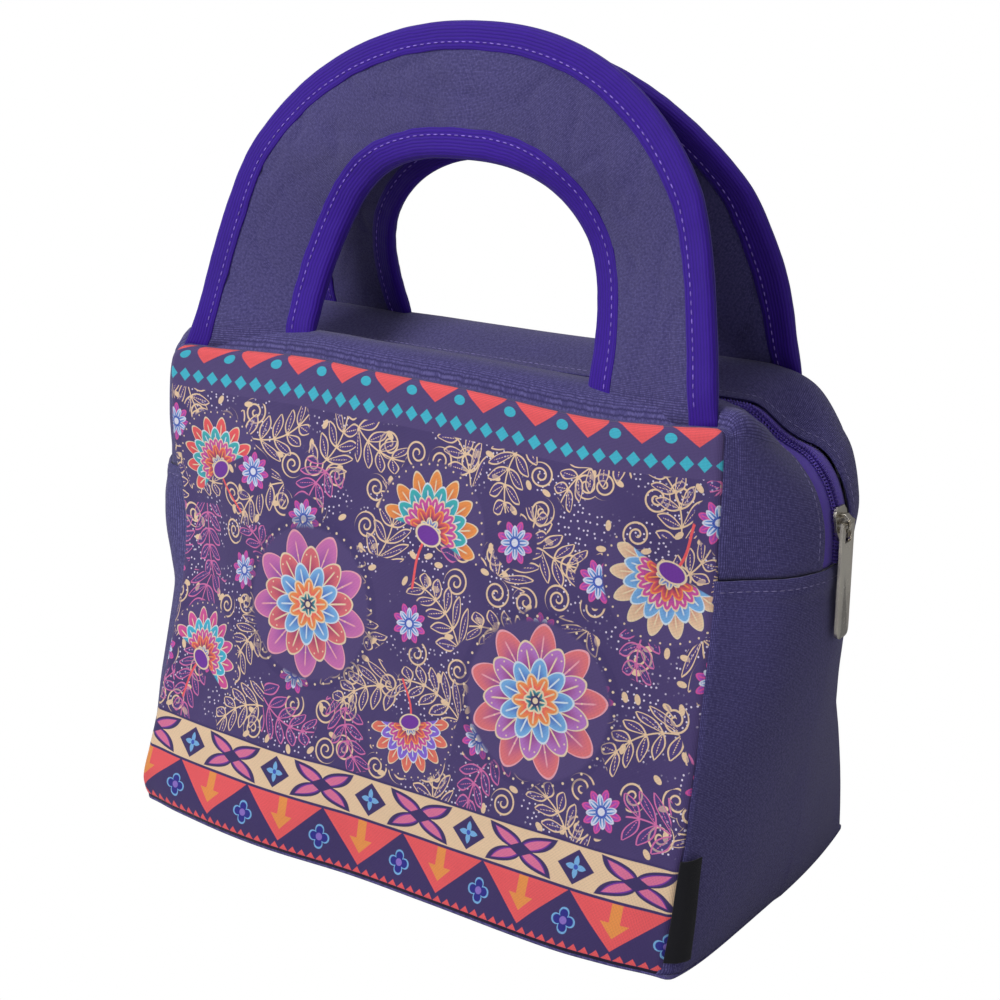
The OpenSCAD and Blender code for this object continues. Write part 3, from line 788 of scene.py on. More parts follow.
LABEL_CUT = (10 * MM, 36.5 * MM)
made = cloth("label", label_cloth, 16, 40, LABEL_CUT, thick=-0.6 * MM, k=(0.4, 0.4))
add("label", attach(sewn(made, *LABEL_CUT), "bag"), "label", "side_label")


def bound_seam(u, v):
    """Rounded tape round the rim of a panel, inside the bag. u runs round the panel, v round the tape."""
    wide, tall, r = half_width(TOP) - 6 * MM, TOP - 8 * MM, 8 * MM
    total = 2 * (2 * wide + tall - 4 * r) + 2 * PI * r
    d = (u + 1) / 2 * total
    run = [(2 * wide - 2 * r, 0), (tall - 2 * r, PI / 2), (2 * wide - 2 * r, PI), (tall - 2 * r, 3 * PI / 2)]
    centre = [Vector((wide - r, r)), Vector((wide - r, tall - r)), Vector((r - wide, tall - r)), Vector((r - wide, r))]
    start = Vector((r - wide, 0))
    for (length, facing), c in zip(run, centre):
        ahead = Vector((math.cos(facing), math.sin(facing)))
        out = Vector((ahead.y, -ahead.x))
        if d <= length:
            p = start + ahead * d
            break
        d -= length
        if d <= r * PI / 2:
            turn = facing - PI / 2 + d / r
            out = Vector((math.cos(turn), math.sin(turn)))
            p = c + out * r
            break
        d -= r * PI / 2
        ahead = Vector((-ahead.y, ahead.x))
        start = c + Vector((ahead.y, -ahead.x)) * r
    else:
        p, out = Vector((r - wide, 0)), Vector((0, -1))
    p += out * math.cos(v * PI) * 4.2 * MM
    z = p.y + 3.5 * MM
    x = p.x * half_width(z) / half_width(TOP)
    deep = FABRIC + FOAM + LINING + 0.9 * MM
    return Vector((x, front_y(z) + deep + 0.7 * MM * math.sin(v * PI), z))


SEAM_CUT = (840 * MM, 18.5 * MM)
for side in SIDES:
    made = cloth(f"{side}_seam_tape", bound_seam, 200, 12, SEAM_CUT, thick=0.3 * MM, back=side == "back", k=(0, 0))
    bm = bmesh.new()
    bm.from_mesh(made.data)
    bmesh.ops.remove_doubles(bm, verts=bm.verts, dist=0.02 * MM)
    bmesh.ops.recalc_face_normals(bm, faces=bm.faces)
    bm.to_mesh(made.data)
    bm.free()
    add(f"{side}_seam_tape", bends(sewn(made, *SEAM_CUT)), "seam_tape", f"{side}_seam_tape_lower", f"{side}_seam_tape_upper")

# ---------------------------------------------------------------- node helpers


class Wire:
    """A value in a node tree. Arithmetic on it adds math nodes."""

    def __init__(self, tree, socket):
        self.tree, self.socket = tree, socket

    def op(self, kind, *others):
        node = self.tree.nodes.new("ShaderNodeMath")
        node.operation = kind
        for value, socket in zip((self, *others), node.inputs):
            plug(self.tree, value, socket)
        return Wire(self.tree, node.outputs[0])

    def __add__(self, other):
        return self.op("ADD", other)

    def __sub__(self, other):
        return self.op("SUBTRACT", other)

    def __mul__(self, other):
        return self.op("MULTIPLY", other)

    def __truediv__(self, other):
        return self.op("DIVIDE", other)

    def __pow__(self, other):
        return self.op("POWER", other)

    def __abs__(self):
        return self.op("ABSOLUTE")

    def __neg__(self):
        return self.op("MULTIPLY", -1)

    def __rsub__(self, other):
        return -self + other

    __radd__, __rmul__ = __add__, __mul__

    def sin(self):
        return self.op("SINE")

    def floor(self):
        return self.op("FLOOR")

    def fract(self):
        return self.op("FRACT")

    def low(self, other):
        return self.op("MINIMUM", other)

    def high(self, other):
        return self.op("MAXIMUM", other)

    def soft(self, a, b):
        """0 below a and 1 above b, or the other way round where b is the lower."""
        node = self.tree.nodes.new("ShaderNodeMapRange")
        node.interpolation_type = "SMOOTHSTEP"
        plug(self.tree, self, node.inputs[0])
        low, high, ends = (a, b, (0, 1)) if isinstance(a, Wire) or isinstance(b, Wire) or a < b else (b, a, (1, 0))
        for value, socket in zip((low, high, *ends), node.inputs[1:5]):
            plug(self.tree, value, socket)
        return Wire(self.tree, node.outputs[0])


def rgb(colour):
    return (*[(c / 255) ** 2.2 for c in colour], 1) if len(colour) == 3 else colour


def plug(tree, value, socket):
    if isinstance(value, Wire):
        tree.links.new(value.socket, socket)
    elif isinstance(value, tuple) and socket.type == "RGBA":
        socket.default_value = rgb(value)
    else:
        socket.default_value = value


def node(tree, kind, out=0, settings=(), **values):
    """Adds a node, fills its named inputs and returns one of its outputs."""
    made = tree.nodes.new(kind)
    for name, value in dict(settings).items():
        setattr(made, name, value)
    for name, value in values.items():
        plug(tree, value, made.inputs[name.replace("_", " ")])
    return Wire(tree, made.outputs[out])


def over(under, colour, mask):
    """Lays a colour over another where the mask is 1."""
    tree = mask.tree
    made = tree.nodes.new("ShaderNodeMix")
    made.data_type = "RGBA"
    for value, k in ((mask, 0), (under, 6), (colour, 7)):
        plug(tree, value, made.inputs[k])
    return Wire(tree, made.outputs[2])


def parts(vector):
    made = vector.tree.nodes.new("ShaderNodeSeparateXYZ")
    plug(vector.tree, vector, made.inputs[0])
    return Wire(vector.tree, made.outputs[0]), Wire(vector.tree, made.outputs[1])


def joined(x, y):
    return node(x.tree, "ShaderNodeCombineXYZ", X=x, Y=y)


def shifted(vector, place=(0, 0), turn=0.0, scale=1.0):
    """Local frame of a motif that stands at place, turned and scaled."""
    made = vector.tree.nodes.new("ShaderNodeMapping")
    made.vector_type = "TEXTURE"
    plug(vector.tree, vector, made.inputs["Vector"])
    made.inputs["Location"].default_value = (*place, 0)
    made.inputs["Rotation"].default_value = (0, 0, turn)
    made.inputs["Scale"].default_value = (scale, scale, 1)
    return Wire(vector.tree, made.outputs[0])


SOCKETS = {"V": "NodeSocketVector", "F": "NodeSocketFloat", "C": "NodeSocketColor"}


def group(takes, gives):
    """Turns a function that draws nodes into a shared node group."""
    def wrap(draw):
        tree = bpy.data.node_groups.new(draw.__name__, "ShaderNodeTree")
        for name, kind in takes.items():
            tree.interface.new_socket(name=name, in_out="INPUT", socket_type=SOCKETS[kind])
        for name, kind in gives.items():
            tree.interface.new_socket(name=name, in_out="OUTPUT", socket_type=SOCKETS[kind])
        start, end = tree.nodes.new("NodeGroupInput"), tree.nodes.new("NodeGroupOutput")
        results = draw(*[Wire(tree, s) for s in start.outputs[: len(takes)]])
        for result, socket in zip(results if isinstance(results, tuple) else (results,), end.inputs):
            plug(tree, result, socket)

        def use(first, *rest):
            made = first.tree.nodes.new("ShaderNodeGroup")
            made.node_tree = tree
            for value, socket in zip((first, *rest), made.inputs):
                plug(first.tree, value, socket)
            found = [Wire(first.tree, s) for s in made.outputs]
            return found[0] if len(found) == 1 else tuple(found)
        return use
    return wrap


# ---------------------------------------------------------------- shared effects


@group({"cut": "V", "size": "F", "amount": "F"}, {"cut": "V"})
def uneven(cut, size, amount):
    """Shifts the threads a little, as in real cloth."""
    made = cut.tree.nodes.new("ShaderNodeTexNoise")
    plug(cut.tree, cut, made.inputs["Vector"])
    plug(cut.tree, size**-1, made.inputs["Scale"])
    shift = cut.tree.nodes.new("ShaderNodeVectorMath")
    shift.operation = "MULTIPLY_ADD"
    cut.tree.links.new(made.outputs["Color"], shift.inputs[0])
    plug(cut.tree, joined(amount, amount), shift.inputs[1])
    plug(cut.tree, cut, shift.inputs[2])
    return Wire(cut.tree, shift.outputs[0])


@group({"cut": "V", "pitch": "F"}, {"height": "F"})
def plain_weave(cut, pitch):
    """Threads that pass over and under each other, one by one."""
    x, y = parts(cut)
    x, y = x / pitch, y / pitch
    warp = abs((x * PI).sin()) ** 0.6 * (((y + x.floor()) * PI).sin() * 0.5 + 0.5)
    weft = abs((y * PI).sin()) ** 0.6 * (((x + y.floor() + 1) * PI).sin() * 0.5 + 0.5)
    return warp.high(weft)


@group({"cut": "V", "pitch": "F"}, {"height": "F"})
def twill(cut, pitch):
    """Slanted lines of a tightly woven tape."""
    x, y = parts(cut)
    return abs(((x + y) / pitch * PI).sin()) * abs(((x - y * 0.35) / pitch * PI * 2).sin()) ** 0.4


@group({"cut": "V", "pitch": "F"}, {"height": "F"})
def ribs(cut, pitch):
    """Lengthwise ribs of a binding tape, crossed by fine threads."""
    x, y = parts(cut)
    rib = (y / pitch * 2 * PI).sin() * 0.5 + 0.5
    cross = abs((x / 0.45 * PI + y.floor()).sin())
    return rib ** 0.7 * 0.75 + cross * 0.25


@group({"cut": "V", "size": "F", "seed": "F"}, {"value": "F"})
def mottle(cut, size, seed):
    """Soft uneven patches."""
    made = cut.tree.nodes.new("ShaderNodeTexNoise")
    made.noise_dimensions = "4D"
    made.inputs["Detail"].default_value = 3
    plug(cut.tree, cut, made.inputs["Vector"])
    plug(cut.tree, seed, made.inputs["W"])
    plug(cut.tree, size**-1, made.inputs["Scale"])
    return Wire(cut.tree, made.outputs[0])


# ---------------------------------------------------------------- printed motifs

NAVY, GROUND, GOLD, CORAL = (70, 58, 110), (90, 76, 128), (250, 216, 178), (255, 100, 104)
CYAN, TEAL, BLUE, PINK = (72, 196, 222), (70, 190, 190), (70, 96, 200), (228, 92, 170)
CREAM, VIOLET, ORANGE, SKY = (250, 226, 190), (122, 62, 170), (255, 160, 84), (130, 190, 245)


@group(
    {"place": "V", "count": "F", "radius": "F", "turn": "F", "depth": "F", "under": "C", "base": "C", "tip": "C", "line": "C"},
    {"colour": "C", "mask": "F"},
)
def petals(place, count, radius, turn, depth, under, base, tip, line):
    """A ring of pointed petals with a drawn edge and a drawn vein."""
    x, y = parts(place)
    r = (x * x + y * y) ** 0.5
    t = abs((y.op("ARCTAN2", x) / (2 * PI) * count + turn).fract() - 0.5) * 2
    edge = radius * (1 - depth * t**1.7)
    gap = edge - r
    inside = gap.soft(0, 0.25)
    rim_line = gap.soft(1.15, 0.75)
    vein = (t * r / count).soft(0.14, 0.07) * (r / edge).soft(0.35, 0.4) * (r / edge).soft(0.86, 0.8)
    fill = over(base, tip, (r / edge).soft(0.35, 1.0))
    return over(under, over(fill, line, rim_line.high(vein)), inside), inside


def dotted_ring(place, under, radius, count, size, colour):
    x, y = parts(place)
    r = (x * x + y * y) ** 0.5
    along = ((y.op("ARCTAN2", x) / (2 * PI) * count).fract() - 0.5) * (2 * PI * radius / count)
    away = (along * along + (r - radius) * (r - radius)) ** 0.5
    return over(under, colour, away.soft(size, size * 0.6))


@group({"place": "V", "under": "C", "outer": "C", "inner": "C"}, {"colour": "C"})
def rosette(place, under, outer, inner):
    """Round layered blossom, 31 mm in radius."""
    x, y = parts(place)
    r = (x * x + y * y) ** 0.5
    colour = over(under, NAVY, r.soft(34.5, 33.5) * 0.5)
    colour = over(colour, GROUND, r.soft(31, 29))
    colour = dotted_ring(place, colour, 31.6, 46.0, 0.62, CREAM)
    colour, _ = petals(place, 9.0, 29.5, 0.0, 0.4, colour, VIOLET, outer, (250, 176, 190))
    colour, _ = petals(place, 9.0, 23.0, 0.5, 0.36, colour, (150, 36, 110), inner, CREAM)
    colour = dotted_ring(place, colour, 19.2, 27.0, 0.45, CREAM)
    colour, _ = petals(place, 9.0, 16.5, 0.0, 0.34, colour, BLUE, SKY, (225, 240, 255))
    colour, _ = petals(place, 9.0, 10.5, 0.5, 0.3, colour, CORAL, ORANGE, CREAM)
    colour, _ = petals(place, 6.0, 5.2, 0.0, 0.25, colour, NAVY, TEAL, CREAM)
    return over(colour, CREAM, r.soft(1.3, 1.0))


@group({"place": "V", "under": "C", "outer": "C", "inner": "C"}, {"colour": "C"})
def fan(place, under, outer, inner):
    """Half blossom that opens upwards on a stem, 26 mm in radius."""
    x, y = parts(place)
    r = (x * x + y * y) ** 0.5
    above = (y + abs(x) * 0.12).soft(-0.6, 0.0)
    colour = over(under, GROUND, r.soft(29, 28) * (y + 2).soft(-0.5, 0.5))
    stem = abs(x - ((y * 0.16).sin() * 1.6)).soft(0.75, 0.5) * (y + 25).soft(-0.4, 0.4) * y.soft(0.2, -0.2)
    colour = over(colour, CORAL, stem)
    back = colour
    colour = dotted_ring(place, colour, 27.2, 40.0, 0.55, CREAM)
    colour, _ = petals(place, 14.0, 25.5, 0.5, 0.34, colour, (200, 60, 80), outer, CREAM)
    colour, _ = petals(place, 14.0, 20.0, 0.0, 0.24, colour, BLUE, inner, (225, 240, 255))
    colour, _ = petals(place, 22.0, 14.8, 0.5, 0.14, colour, VIOLET, PINK, CREAM)
    colour, _ = petals(place, 10.0, 11.0, 0.5, 0.3, colour, NAVY, CORAL, ORANGE)
    colour, _ = petals(place, 8.0, 6.0, 0.0, 0.3, colour, VIOLET, SKY, CREAM)
    colour = over(back, colour, above)
    cup = (x * x / 2.4 + (y + 1.6) * (y + 1.6)) ** 0.5
    colour = over(colour, CREAM, cup.soft(4.6, 4.3))
    return over(colour, VIOLET, cup.soft(3.9, 3.6))


@group({"place": "V", "under": "C", "line": "C"}, {"colour": "C"})
def sprig(place, under, line):
    """Outlined leaves in pairs along a curved stem."""
    x, y = parts(place)
    y = y - x * x * 0.018 + 1.5
    within = abs(x).soft(15.5, 15.0)
    side = abs(y)
    slant = x - side * 0.75
    f = abs((slant / 6.4).fract() - 0.5) * 6.4
    long = 8.6 - x * 0.2
    wide = ((side / long).low(1) * PI).sin() * 2.3
    leaf = abs(wide - f).soft(0.42, 0.24) * side.soft(long, long - 0.3)
    vein = f.soft(0.26, 0.16) * side.soft(long * 0.75, long * 0.7) * (side * 1.1).fract().soft(0.3, 0.4)
    stem = side.soft(0.36, 0.24)
    tint = over(under, (94, 74, 150), (wide - f).soft(0.0, 0.4) * side.soft(long, long - 0.3) * within * 0.45)
    return over(tint, line, leaf.high(vein).high(stem) * within)


@group({"place": "V", "under": "C"}, {"colour": "C"})
def star(place, under):
    """Small starry flower, 7 mm in radius."""
    colour, _ = petals(place, 8.0, 8.0, 0.5, 0.55, under, VIOLET, (190, 90, 200), PINK)
    colour, _ = petals(place, 8.0, 6.2, 0.0, 0.5, colour, BLUE, SKY, (228, 232, 255))
    x, y = parts(place)
    return over(colour, (240, 240, 255), (x * x + y * y).soft(2.4, 1.4))


@group({"place": "V", "under": "C", "line": "C"}, {"colour": "C"})
def curl(place, under, line):
    """Thin spiral line that opens outwards."""
    x, y = parts(place)
    r = (x * x + y * y) ** 0.5
    spiral = abs((r / 2.5 - y.op("ARCTAN2", x) / (2 * PI)).fract() - 0.5) * 2.5
    return over(under, line, spiral.soft(0.46, 0.26) * r.soft(5.6, 5.2) * r.soft(0.5, 0.7))


def scatter(cut, size, seed, loose=0.8):
    """Local frames of motifs strewn over the cloth, and a random number for each."""
    tree = cut.tree
    scaled = shifted(cut, (seed * 31.7, seed * 17.3), 0, size)
    cells = tree.nodes.new("ShaderNodeTexVoronoi")
    cells.voronoi_dimensions = "2D"
    plug(tree, scaled, cells.inputs["Vector"])
    cells.inputs["Scale"].default_value = 1
    cells.inputs["Randomness"].default_value = loose
    local = node(tree, "ShaderNodeVectorMath", settings={"operation": "SUBTRACT"}).socket.node
    plug(tree, scaled, local.inputs[0])
    tree.links.new(cells.outputs["Position"], local.inputs[1])
    grown = tree.nodes.new("ShaderNodeVectorMath")
    grown.operation = "SCALE"
    tree.links.new(local.outputs[0], grown.inputs[0])
    grown.inputs["Scale"].default_value = size
    chance = tree.nodes.new("ShaderNodeSeparateColor")
    tree.links.new(cells.outputs["Color"], chance.inputs[0])
    turn = tree.nodes.new("ShaderNodeVectorRotate")
    turn.rotation_type = "Z_AXIS"
    tree.links.new(grown.outputs[0], turn.inputs["Vector"])
    plug(tree, Wire(tree, chance.outputs[0]) * (2 * PI), turn.inputs["Angle"])
    return Wire(tree, turn.outputs[0]), Wire(tree, chance.outputs[1])


@group({"cut": "V"}, {"colour": "C"})
def field(cut):
    """Strewn fine motifs under the large ones."""
    tree = cut.tree
    ground = over(GROUND, NAVY, mottle(cut, 30.0, 1.0))
    local, chance = scatter(cut, 2.6, 1, 0.75)
    x, y = parts(local)
    cloud = mottle(cut, 16.0, 4.0).soft(0.5, 0.56)
    colour = over(ground, (236, 226, 250), (x * x + y * y).soft(0.2, 0.09) * cloud)
    local, chance = scatter(cut, 8.5, 2, 0.9)
    x, y = parts(local)
    drop = (x * x * 3.2 + y * y) ** 0.5
    colour = over(colour, GOLD, drop.soft(2.1, 1.8) * chance.soft(0.6, 0.61))
    local, chance = scatter(cut, 15.0, 3, 0.7)
    colour = over(colour, curl(local, colour, GOLD), chance.soft(0.45, 0.46))
    local, chance = scatter(cut, 30.0, 4, 0.55)
    colour = sprig(local, colour, over(GOLD, (226, 120, 180), chance.soft(0.6, 0.61)))
    local, chance = scatter(cut, 43.0, 5, 0.75)
    x, y = parts(local)
    colour = over(colour, ground, (x * x + y * y).soft(96, 84))
    return star(local, colour)


def wave(x, pitch, start=0.0):
    """Distance to the nearest of a row of middles."""
    return abs(((x - start) / pitch + 0.5).fract() - 0.5) * pitch


@group({"cut": "V", "under": "C"}, {"colour": "C"})
def upper_border(cut, under):
    """Row of diamonds, with triangles hanging from the top seam."""
    x, z = parts(cut)
    colour = over(under, GROUND, z.soft(171.6, 172.0))
    colour = over(colour, CYAN, (wave(x, 6.92, 1.2) + abs(z - 177)).soft(3.0, 2.6))
    tooth = wave(x, 22.4, 4.5) / 8.2 + (188.4 - z) / 5.6
    colour = over(colour, CORAL, tooth.soft(1.02, 0.96))
    oval = (wave(x, 22.4, 15.7) / 2.5) ** 2 + ((185.6 - z) / 1.8) ** 2
    return over(colour, CYAN, oval.soft(1.05, 0.85))


@group({"cut": "V", "under": "C"}, {"colour": "C"})
def gold_band(cut, under):
    """Gold band with crossed flowers and diamonds."""
    x, z = parts(cut)
    mid = 29.7
    y = z - mid
    colour = over(under, NAVY, abs(y).soft(8.5, 8.2))
    colour = over(colour, GOLD, abs(y).soft(7.6, 7.3))
    # crossed flowers
    fx = (((x + 77) / 47 + 0.5).fract() - 0.5) * 47
    cross = joined(fx / 2.08, y)
    px, py = parts(cross)
    r = (px * px + py * py) ** 0.5
    t = abs((py.op("ARCTAN2", px) / (2 * PI) * 4).fract() - 0.5) * 2
    edge = 8.7 * (1 - t**0.85 * 0.86) + 1.0
    colour = over(colour, NAVY, (edge - r).soft(-0.4, -0.1))
    colour = over(colour, VIOLET, (edge - r).soft(1.2, 1.5))
    colour = over(colour, (236, 124, 166), (edge - r - t * 1.8).soft(1.4, 1.8))
    colour = over(colour, NAVY, (abs(px) + abs(py)).soft(2.7, 2.5))
    # diamonds between them
    dx = (((x + 77) / 47).fract() - 0.5) * 47
    rhomb = abs(dx) / 7.4 + abs(y) / 6.2
    colour = over(colour, NAVY, rhomb.soft(1.04, 0.99))
    r = (dx * dx + y * y) ** 0.5
    t = abs((y.op("ARCTAN2", dx) / (2 * PI) * 4 + 0.5).fract() - 0.5) * 2
    leaf = 4.3 * (1 - t * 0.72) - r
    colour = over(colour, SKY, leaf.soft(0, 0.3))
    return over(colour, BLUE, r.soft(1.0, 0.8))


@group({"cut": "V", "under": "C"}, {"colour": "C"})
def lower_border(cut, under):
    """Hanging triangles with arrows, standing ones with small flowers, and a row of teeth."""
    x, z = parts(cut)
    colour = over(under, NAVY, z.soft(21.5, 21.3))
    dx = wave(x, 38.3, -85.4)
    colour = over(colour, CORAL, (z - 3.6 - dx * 0.93).soft(0, 0.4) * z.soft(21.3, 21.1))
    shaft = (dx - 2.0).high(13.6 - z).high(z - 21.1)
    head = (dx - (z - 8.4) * 0.95).high(z - 14.0)
    colour = over(colour, ORANGE, shaft.low(head).soft(0.15, -0.15))
    fx = (((x + 85.4) / 38.3).fract() - 0.5) * 38.3
    fy = z - 10.2
    r = (fx * fx + fy * fy) ** 0.5
    t = abs((fy.op("ARCTAN2", fx) / (2 * PI) * 4).fract() - 0.5) * 2
    lobe = 5.0 * (1 - (1 - t) ** 2.2 * 0.44)
    colour = over(colour, SKY, (lobe - r).soft(0, 0.3))
    colour = over(colour, (52, 52, 150), (lobe - r).soft(0.75, 1.05))
    colour = over(colour, (150, 120, 215), r.soft(1.6, 1.3))
    colour = over(colour, CORAL, (wave(x, 4.4) * 1.1 + z).soft(3.4, 3.0) * z.soft(0.8, 1.1))
    return over(colour, (30, 20, 50), z.soft(1.0, 0.7))


def nearest(cut, reach, spots):
    """Local frame and colours of whichever large motif stands here."""
    first, *others = spots
    frame_here, outer, inner = shifted(cut, *first[:3]), first[3], first[4]
    for place, turn, scale, new_outer, new_inner in others:
        local = shifted(cut, place, turn, scale)
        x, y = parts(local)
        here = (x * x + y * y).soft(reach**2 + 0.01, reach**2)
        chosen = cut.tree.nodes.new("ShaderNodeMix")
        chosen.data_type = "VECTOR"
        for value, k in ((here, 0), (frame_here, 4), (local, 5)):
            plug(cut.tree, value, chosen.inputs[k])
        frame_here = Wire(cut.tree, chosen.outputs[1])
        outer, inner = over(outer, new_outer, here), over(inner, new_inner, here)
    return frame_here, outer, inner


ROSETTES = (((-46, 98), 0.2, 1.0, (222, 124, 190), (238, 120, 128)), ((62, 84), 0.5, 0.98, (244, 128, 130), (196, 130, 214)))
FANS = (
    ((8, 136), -0.25, 0.9, ORANGE, TEAL), ((-98, 142), 0.6, 0.8, CORAL, TEAL), ((108, 136), 2.7, 0.86, GOLD, SKY),
    ((-104, 64), -0.45, 0.8, PINK, CYAN), ((8, 62), -2.9, 0.72, (250, 130, 110), (150, 110, 230)),
)


@group({"cut": "V"}, {"colour": "C"})
def print_design(cut):
    """The whole printed panel, with x from its middle and z from its base, in millimetres."""
    colour = field(cut)
    place, outer, inner = nearest(cut, 35, ROSETTES)
    colour = rosette(place, colour, outer, inner)
    place, outer, inner = nearest(cut, 31, FANS)
    colour = fan(place, colour, outer, inner)
    colour = upper_border(cut, colour)
    return lower_border(cut, gold_band(cut, colour))


# ---------------------------------------------------------------- materials


def material(name, rough=0.8, metal=0.0, **more):
    made = bpy.data.materials.new(name)
    made.use_nodes = True
    shader = made.node_tree.nodes["Principled BSDF"]
    shader.inputs["Roughness"].default_value = rough
    shader.inputs["Metallic"].default_value = metal
    for key, value in more.items():
        shader.inputs[key.replace("_", " ")].default_value = value
    return made, made.node_tree, shader


def cut_cloth(tree, shift=(0, 0)):
    """Place on the cut cloth, in millimetres."""
    uv = tree.nodes.new("ShaderNodeUVMap")
    uv.uv_map = "cut"
    scaled = tree.nodes.new("ShaderNodeMapping")
    tree.links.new(uv.outputs[0], scaled.inputs["Vector"])
    scaled.inputs["Scale"].default_value = (1000, 1000, 1000)
    scaled.inputs["Location"].default_value = (*shift, 0)
    return Wire(tree, scaled.outputs[0])


def in_object(tree):
    made = tree.nodes.new("ShaderNodeTexCoord")
    scaled = tree.nodes.new("ShaderNodeMapping")
    tree.links.new(made.outputs["Object"], scaled.inputs["Vector"])
    scaled.inputs["Scale"].default_value = (1000, 1000, 1000)
    return Wire(tree, scaled.outputs[0])


def bump(shader, height, deep, first=None):
    """Raises the surface by deep millimetres."""
    tree = height.tree
    made = tree.nodes.new("ShaderNodeBump")
    made.inputs["Distance"].default_value = deep * MM
    plug(tree, height, made.inputs["Height"])
    if first:
        tree.links.new(first.outputs[0], made.inputs["Normal"])
    tree.links.new(made.outputs[0], shader.inputs["Normal"])
    return made


def woven(name, colour, shade, weave, pitch, deep, rough=0.85, wear=0.12, sheen=0.2, shift=(0, 0), crease=0.25, size=9.0,
          contrast=0.5, light=None):
    """Cloth: a colour, or a function that draws one, a weave with painted shade in its low parts and, where light is
    given, a painted highlight on its crests, soft creases and light wear.
    """
    made, tree, shader = material(name, rough, Sheen_Weight=sheen, Sheen_Roughness=0.45)
    shader.inputs["Specular IOR Level"].default_value = 0.3
    cut = cut_cloth(tree, shift)
    base = colour(cut) if callable(colour) else colour
    worn, fleck = mottle(cut, 22.0, 7.0), mottle(cut, 1.1, 11.0)
    height = weave(uneven(cut, 2.4, 0.4), pitch)
    # Painted shade: the shade colour darkens the low parts of the weave, between the threads.
    dark = over(base, shade, height.soft(0.75, 0.1) * contrast)
    # Painted highlight: the light colour lightens the crests of the threads, in patches that vary at random.
    if light:
        dark = over(dark, light, height.soft(0.5, 0.95) * fleck.soft(0.36, 0.64) * 0.75)
    tone = node(tree, "ShaderNodeHueSaturation", settings={}, Color=dark, Value=worn * (2 * wear) + (1 - wear))
    plug(tree, tone, shader.inputs["Base Color"])
    plug(tree, worn * 0.16 + (rough - 0.08), shader.inputs["Roughness"])
    soft_bump = bump(shader, mottle(cut, size, 3.0), crease)
    bump(shader, height, deep, soft_bump)
    return made


def plain_look(name, colour, rough, metal, mark, size, deep, other=None, **more):
    """Hard or coated matter: a colour with fine marks and patches."""
    made, tree, shader = material(name, rough, metal, **more)
    place = in_object(tree)
    fine, broad = mottle(place, size, 2.0), mottle(place, size * 14, 5.0)
    colour_out = over(colour, other or tuple(int(c * 0.8) for c in colour), broad.soft(0.35, 0.7))
    plug(tree, colour_out, shader.inputs["Base Color"])
    plug(tree, fine * mark + (rough - mark / 2), shader.inputs["Roughness"])
    bump(shader, fine, deep)
    return made


# Each woven look's second colour is a darker copy of its cloth, painted as shade between the threads; plain_fabric's
# light colour is a painted highlight on the thread crests.
LOOKS = {
    "printed_fabric": woven(
        "printed_fabric", print_design, (36, 28, 66), plain_weave, 0.5, 0.12, 0.82, 0.08, 0.15,
        (0, PANEL_CUT[1] / MM / 2 * 0.9867),
    ),
    "plain_fabric": woven(
        "plain_fabric", (71, 65, 122), (30, 24, 60), plain_weave, 0.55, 0.18, 0.8, 0.1, 0.2,
        crease=0.5, size=15.0, contrast=0.75, light=(126, 119, 184),
    ),
    "binding": woven("binding", (58, 18, 150), (34, 8, 100), ribs, 1.25, 0.16, 0.7, 0.12, 0.12, size=5.0),
    "zip_tape": woven("zip_tape", (104, 78, 196), (66, 44, 150), twill, 0.8, 0.12, 0.8, 0.1, 0.2),
    "zip_coil": plain_look("zip_coil", (92, 70, 182), 0.34, 0.0, 0.16, 0.5, 0.04),
    "nickel": plain_look("nickel", (214, 208, 196), 0.24, 1.0, 0.2, 1.4, 0.012, (186, 180, 170)),
    "label": woven("label", (24, 24, 32), (8, 8, 14), twill, 0.5, 0.06, 0.7, 0.15, 0.1),
    "foam": plain_look("foam", (226, 226, 230), 0.9, 0.0, 0.1, 0.9, 0.25),
    "lining": plain_look("lining", (196, 200, 206), 0.36, 0.85, 0.2, 6.0, 0.5),
    "board": plain_look("board", (150, 134, 112), 0.9, 0.0, 0.1, 0.7, 0.1),
    "seam_tape": woven("seam_tape", (206, 206, 212), (150, 150, 158), ribs, 1.2, 0.15, 0.8),
}
STITCHES = {
    "binding": plain_look("binding_thread", (158, 128, 238), 0.6, 0.0, 0.2, 0.3, 0.03),
    "tape": plain_look("tape_thread", (128, 104, 204), 0.6, 0.0, 0.2, 0.3, 0.03),
    "cloth": plain_look("cloth_thread", (144, 136, 190), 0.65, 0.0, 0.2, 0.3, 0.03),
}


def paint(made, look):
    made.data.materials.clear()
    made.data.materials.append(look)


for name, made in pieces.items():
    if "stitches" in name:
        paint(made, STITCHES["binding" if "ner_" in name or "outer" in name else "tape" if "coil" in name else "cloth"])
    else:
        paint(made, LOOKS[slots[name]])
paint(bpy.data.objects["base_board"], LOOKS["board"])

# ---------------------------------------------------------------- stage

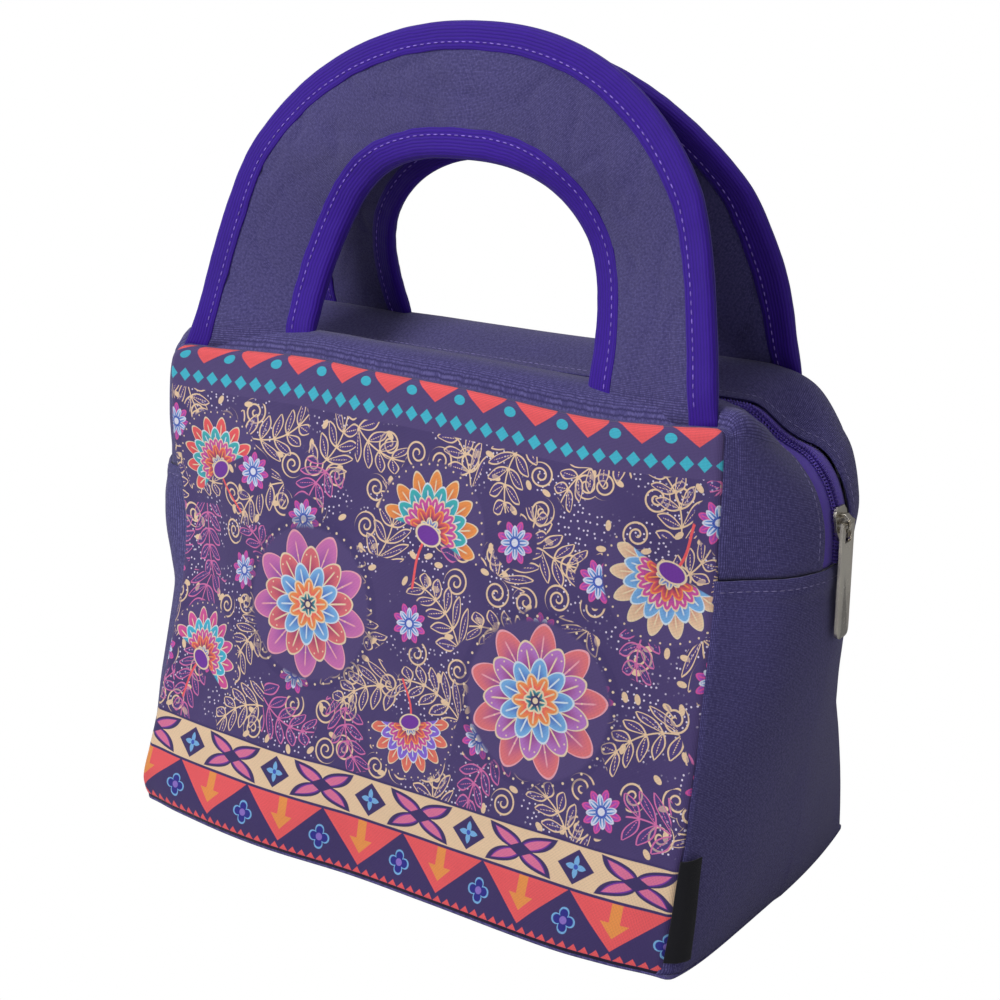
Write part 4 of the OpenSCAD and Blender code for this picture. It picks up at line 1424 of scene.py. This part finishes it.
bm = bmesh.new()
bmesh.ops.create_grid(bm, x_segments=2, y_segments=2, size=20)
floor = finish_mesh(bm, "floor", smooth=False)
white, tree, shader = material("floor", 0.9)
shader.inputs["Base Color"].default_value = (0.55, 0.55, 0.55, 1)
path = tree.nodes.new("ShaderNodeLightPath")
glow = tree.nodes.new("ShaderNodeEmission")
glow.inputs["Color"].default_value = (1, 1, 1, 1)
mix = tree.nodes.new("ShaderNodeMixShader")
tree.links.new(path.outputs["Is Camera Ray"], mix.inputs[0])
tree.links.new(tree.nodes["Principled BSDF"].outputs[0], mix.inputs[1])
tree.links.new(glow.outputs[0], mix.inputs[2])
tree.links.new(mix.outputs[0], tree.nodes["Material Output"].inputs["Surface"])
paint(floor, white)

world = bpy.data.worlds.new("studio")
bpy.context.scene.world = world
world.use_nodes = True
tree = world.node_tree
soft_light = tree.nodes["Background"]
soft_light.inputs["Color"].default_value = (1, 1, 1, 1)
soft_light.inputs["Strength"].default_value = 0.25
backdrop = tree.nodes.new("ShaderNodeBackground")
backdrop.inputs["Color"].default_value = (1, 1, 1, 1)
path = tree.nodes.new("ShaderNodeLightPath")
mix = tree.nodes.new("ShaderNodeMixShader")
tree.links.new(path.outputs["Is Camera Ray"], mix.inputs[0])
tree.links.new(soft_light.outputs[0], mix.inputs[1])
tree.links.new(backdrop.outputs[0], mix.inputs[2])
tree.links.new(mix.outputs[0], tree.nodes["World Output"].inputs["Surface"])
bpy.context.scene.view_settings.view_transform = "Standard"


def lamp(name, place, aim, size, power):
    light = bpy.data.lights.new(name, "AREA")
    light.shape = "RECTANGLE"
    light.size, light.size_y = size
    light.energy = power
    made = bpy.data.objects.new(name, light)
    bpy.context.scene.collection.objects.link(made)
    made.location = place
    made.rotation_euler = (Vector(aim) - Vector(place)).to_track_quat("-Z", "Y").to_euler()


lamp("key", (-0.5, -1.25, 1.1), (0, 0, 0.12), (0.7, 0.6), 16.5)
lamp("fill", (1.4, -0.7, 0.8), (0, 0, 0.12), (1.0, 1.0), 2.0)
lamp("top", (-0.2, 0.1, 1.5), (0, 0, 0.1), (1.0, 1.0), 5)

import json
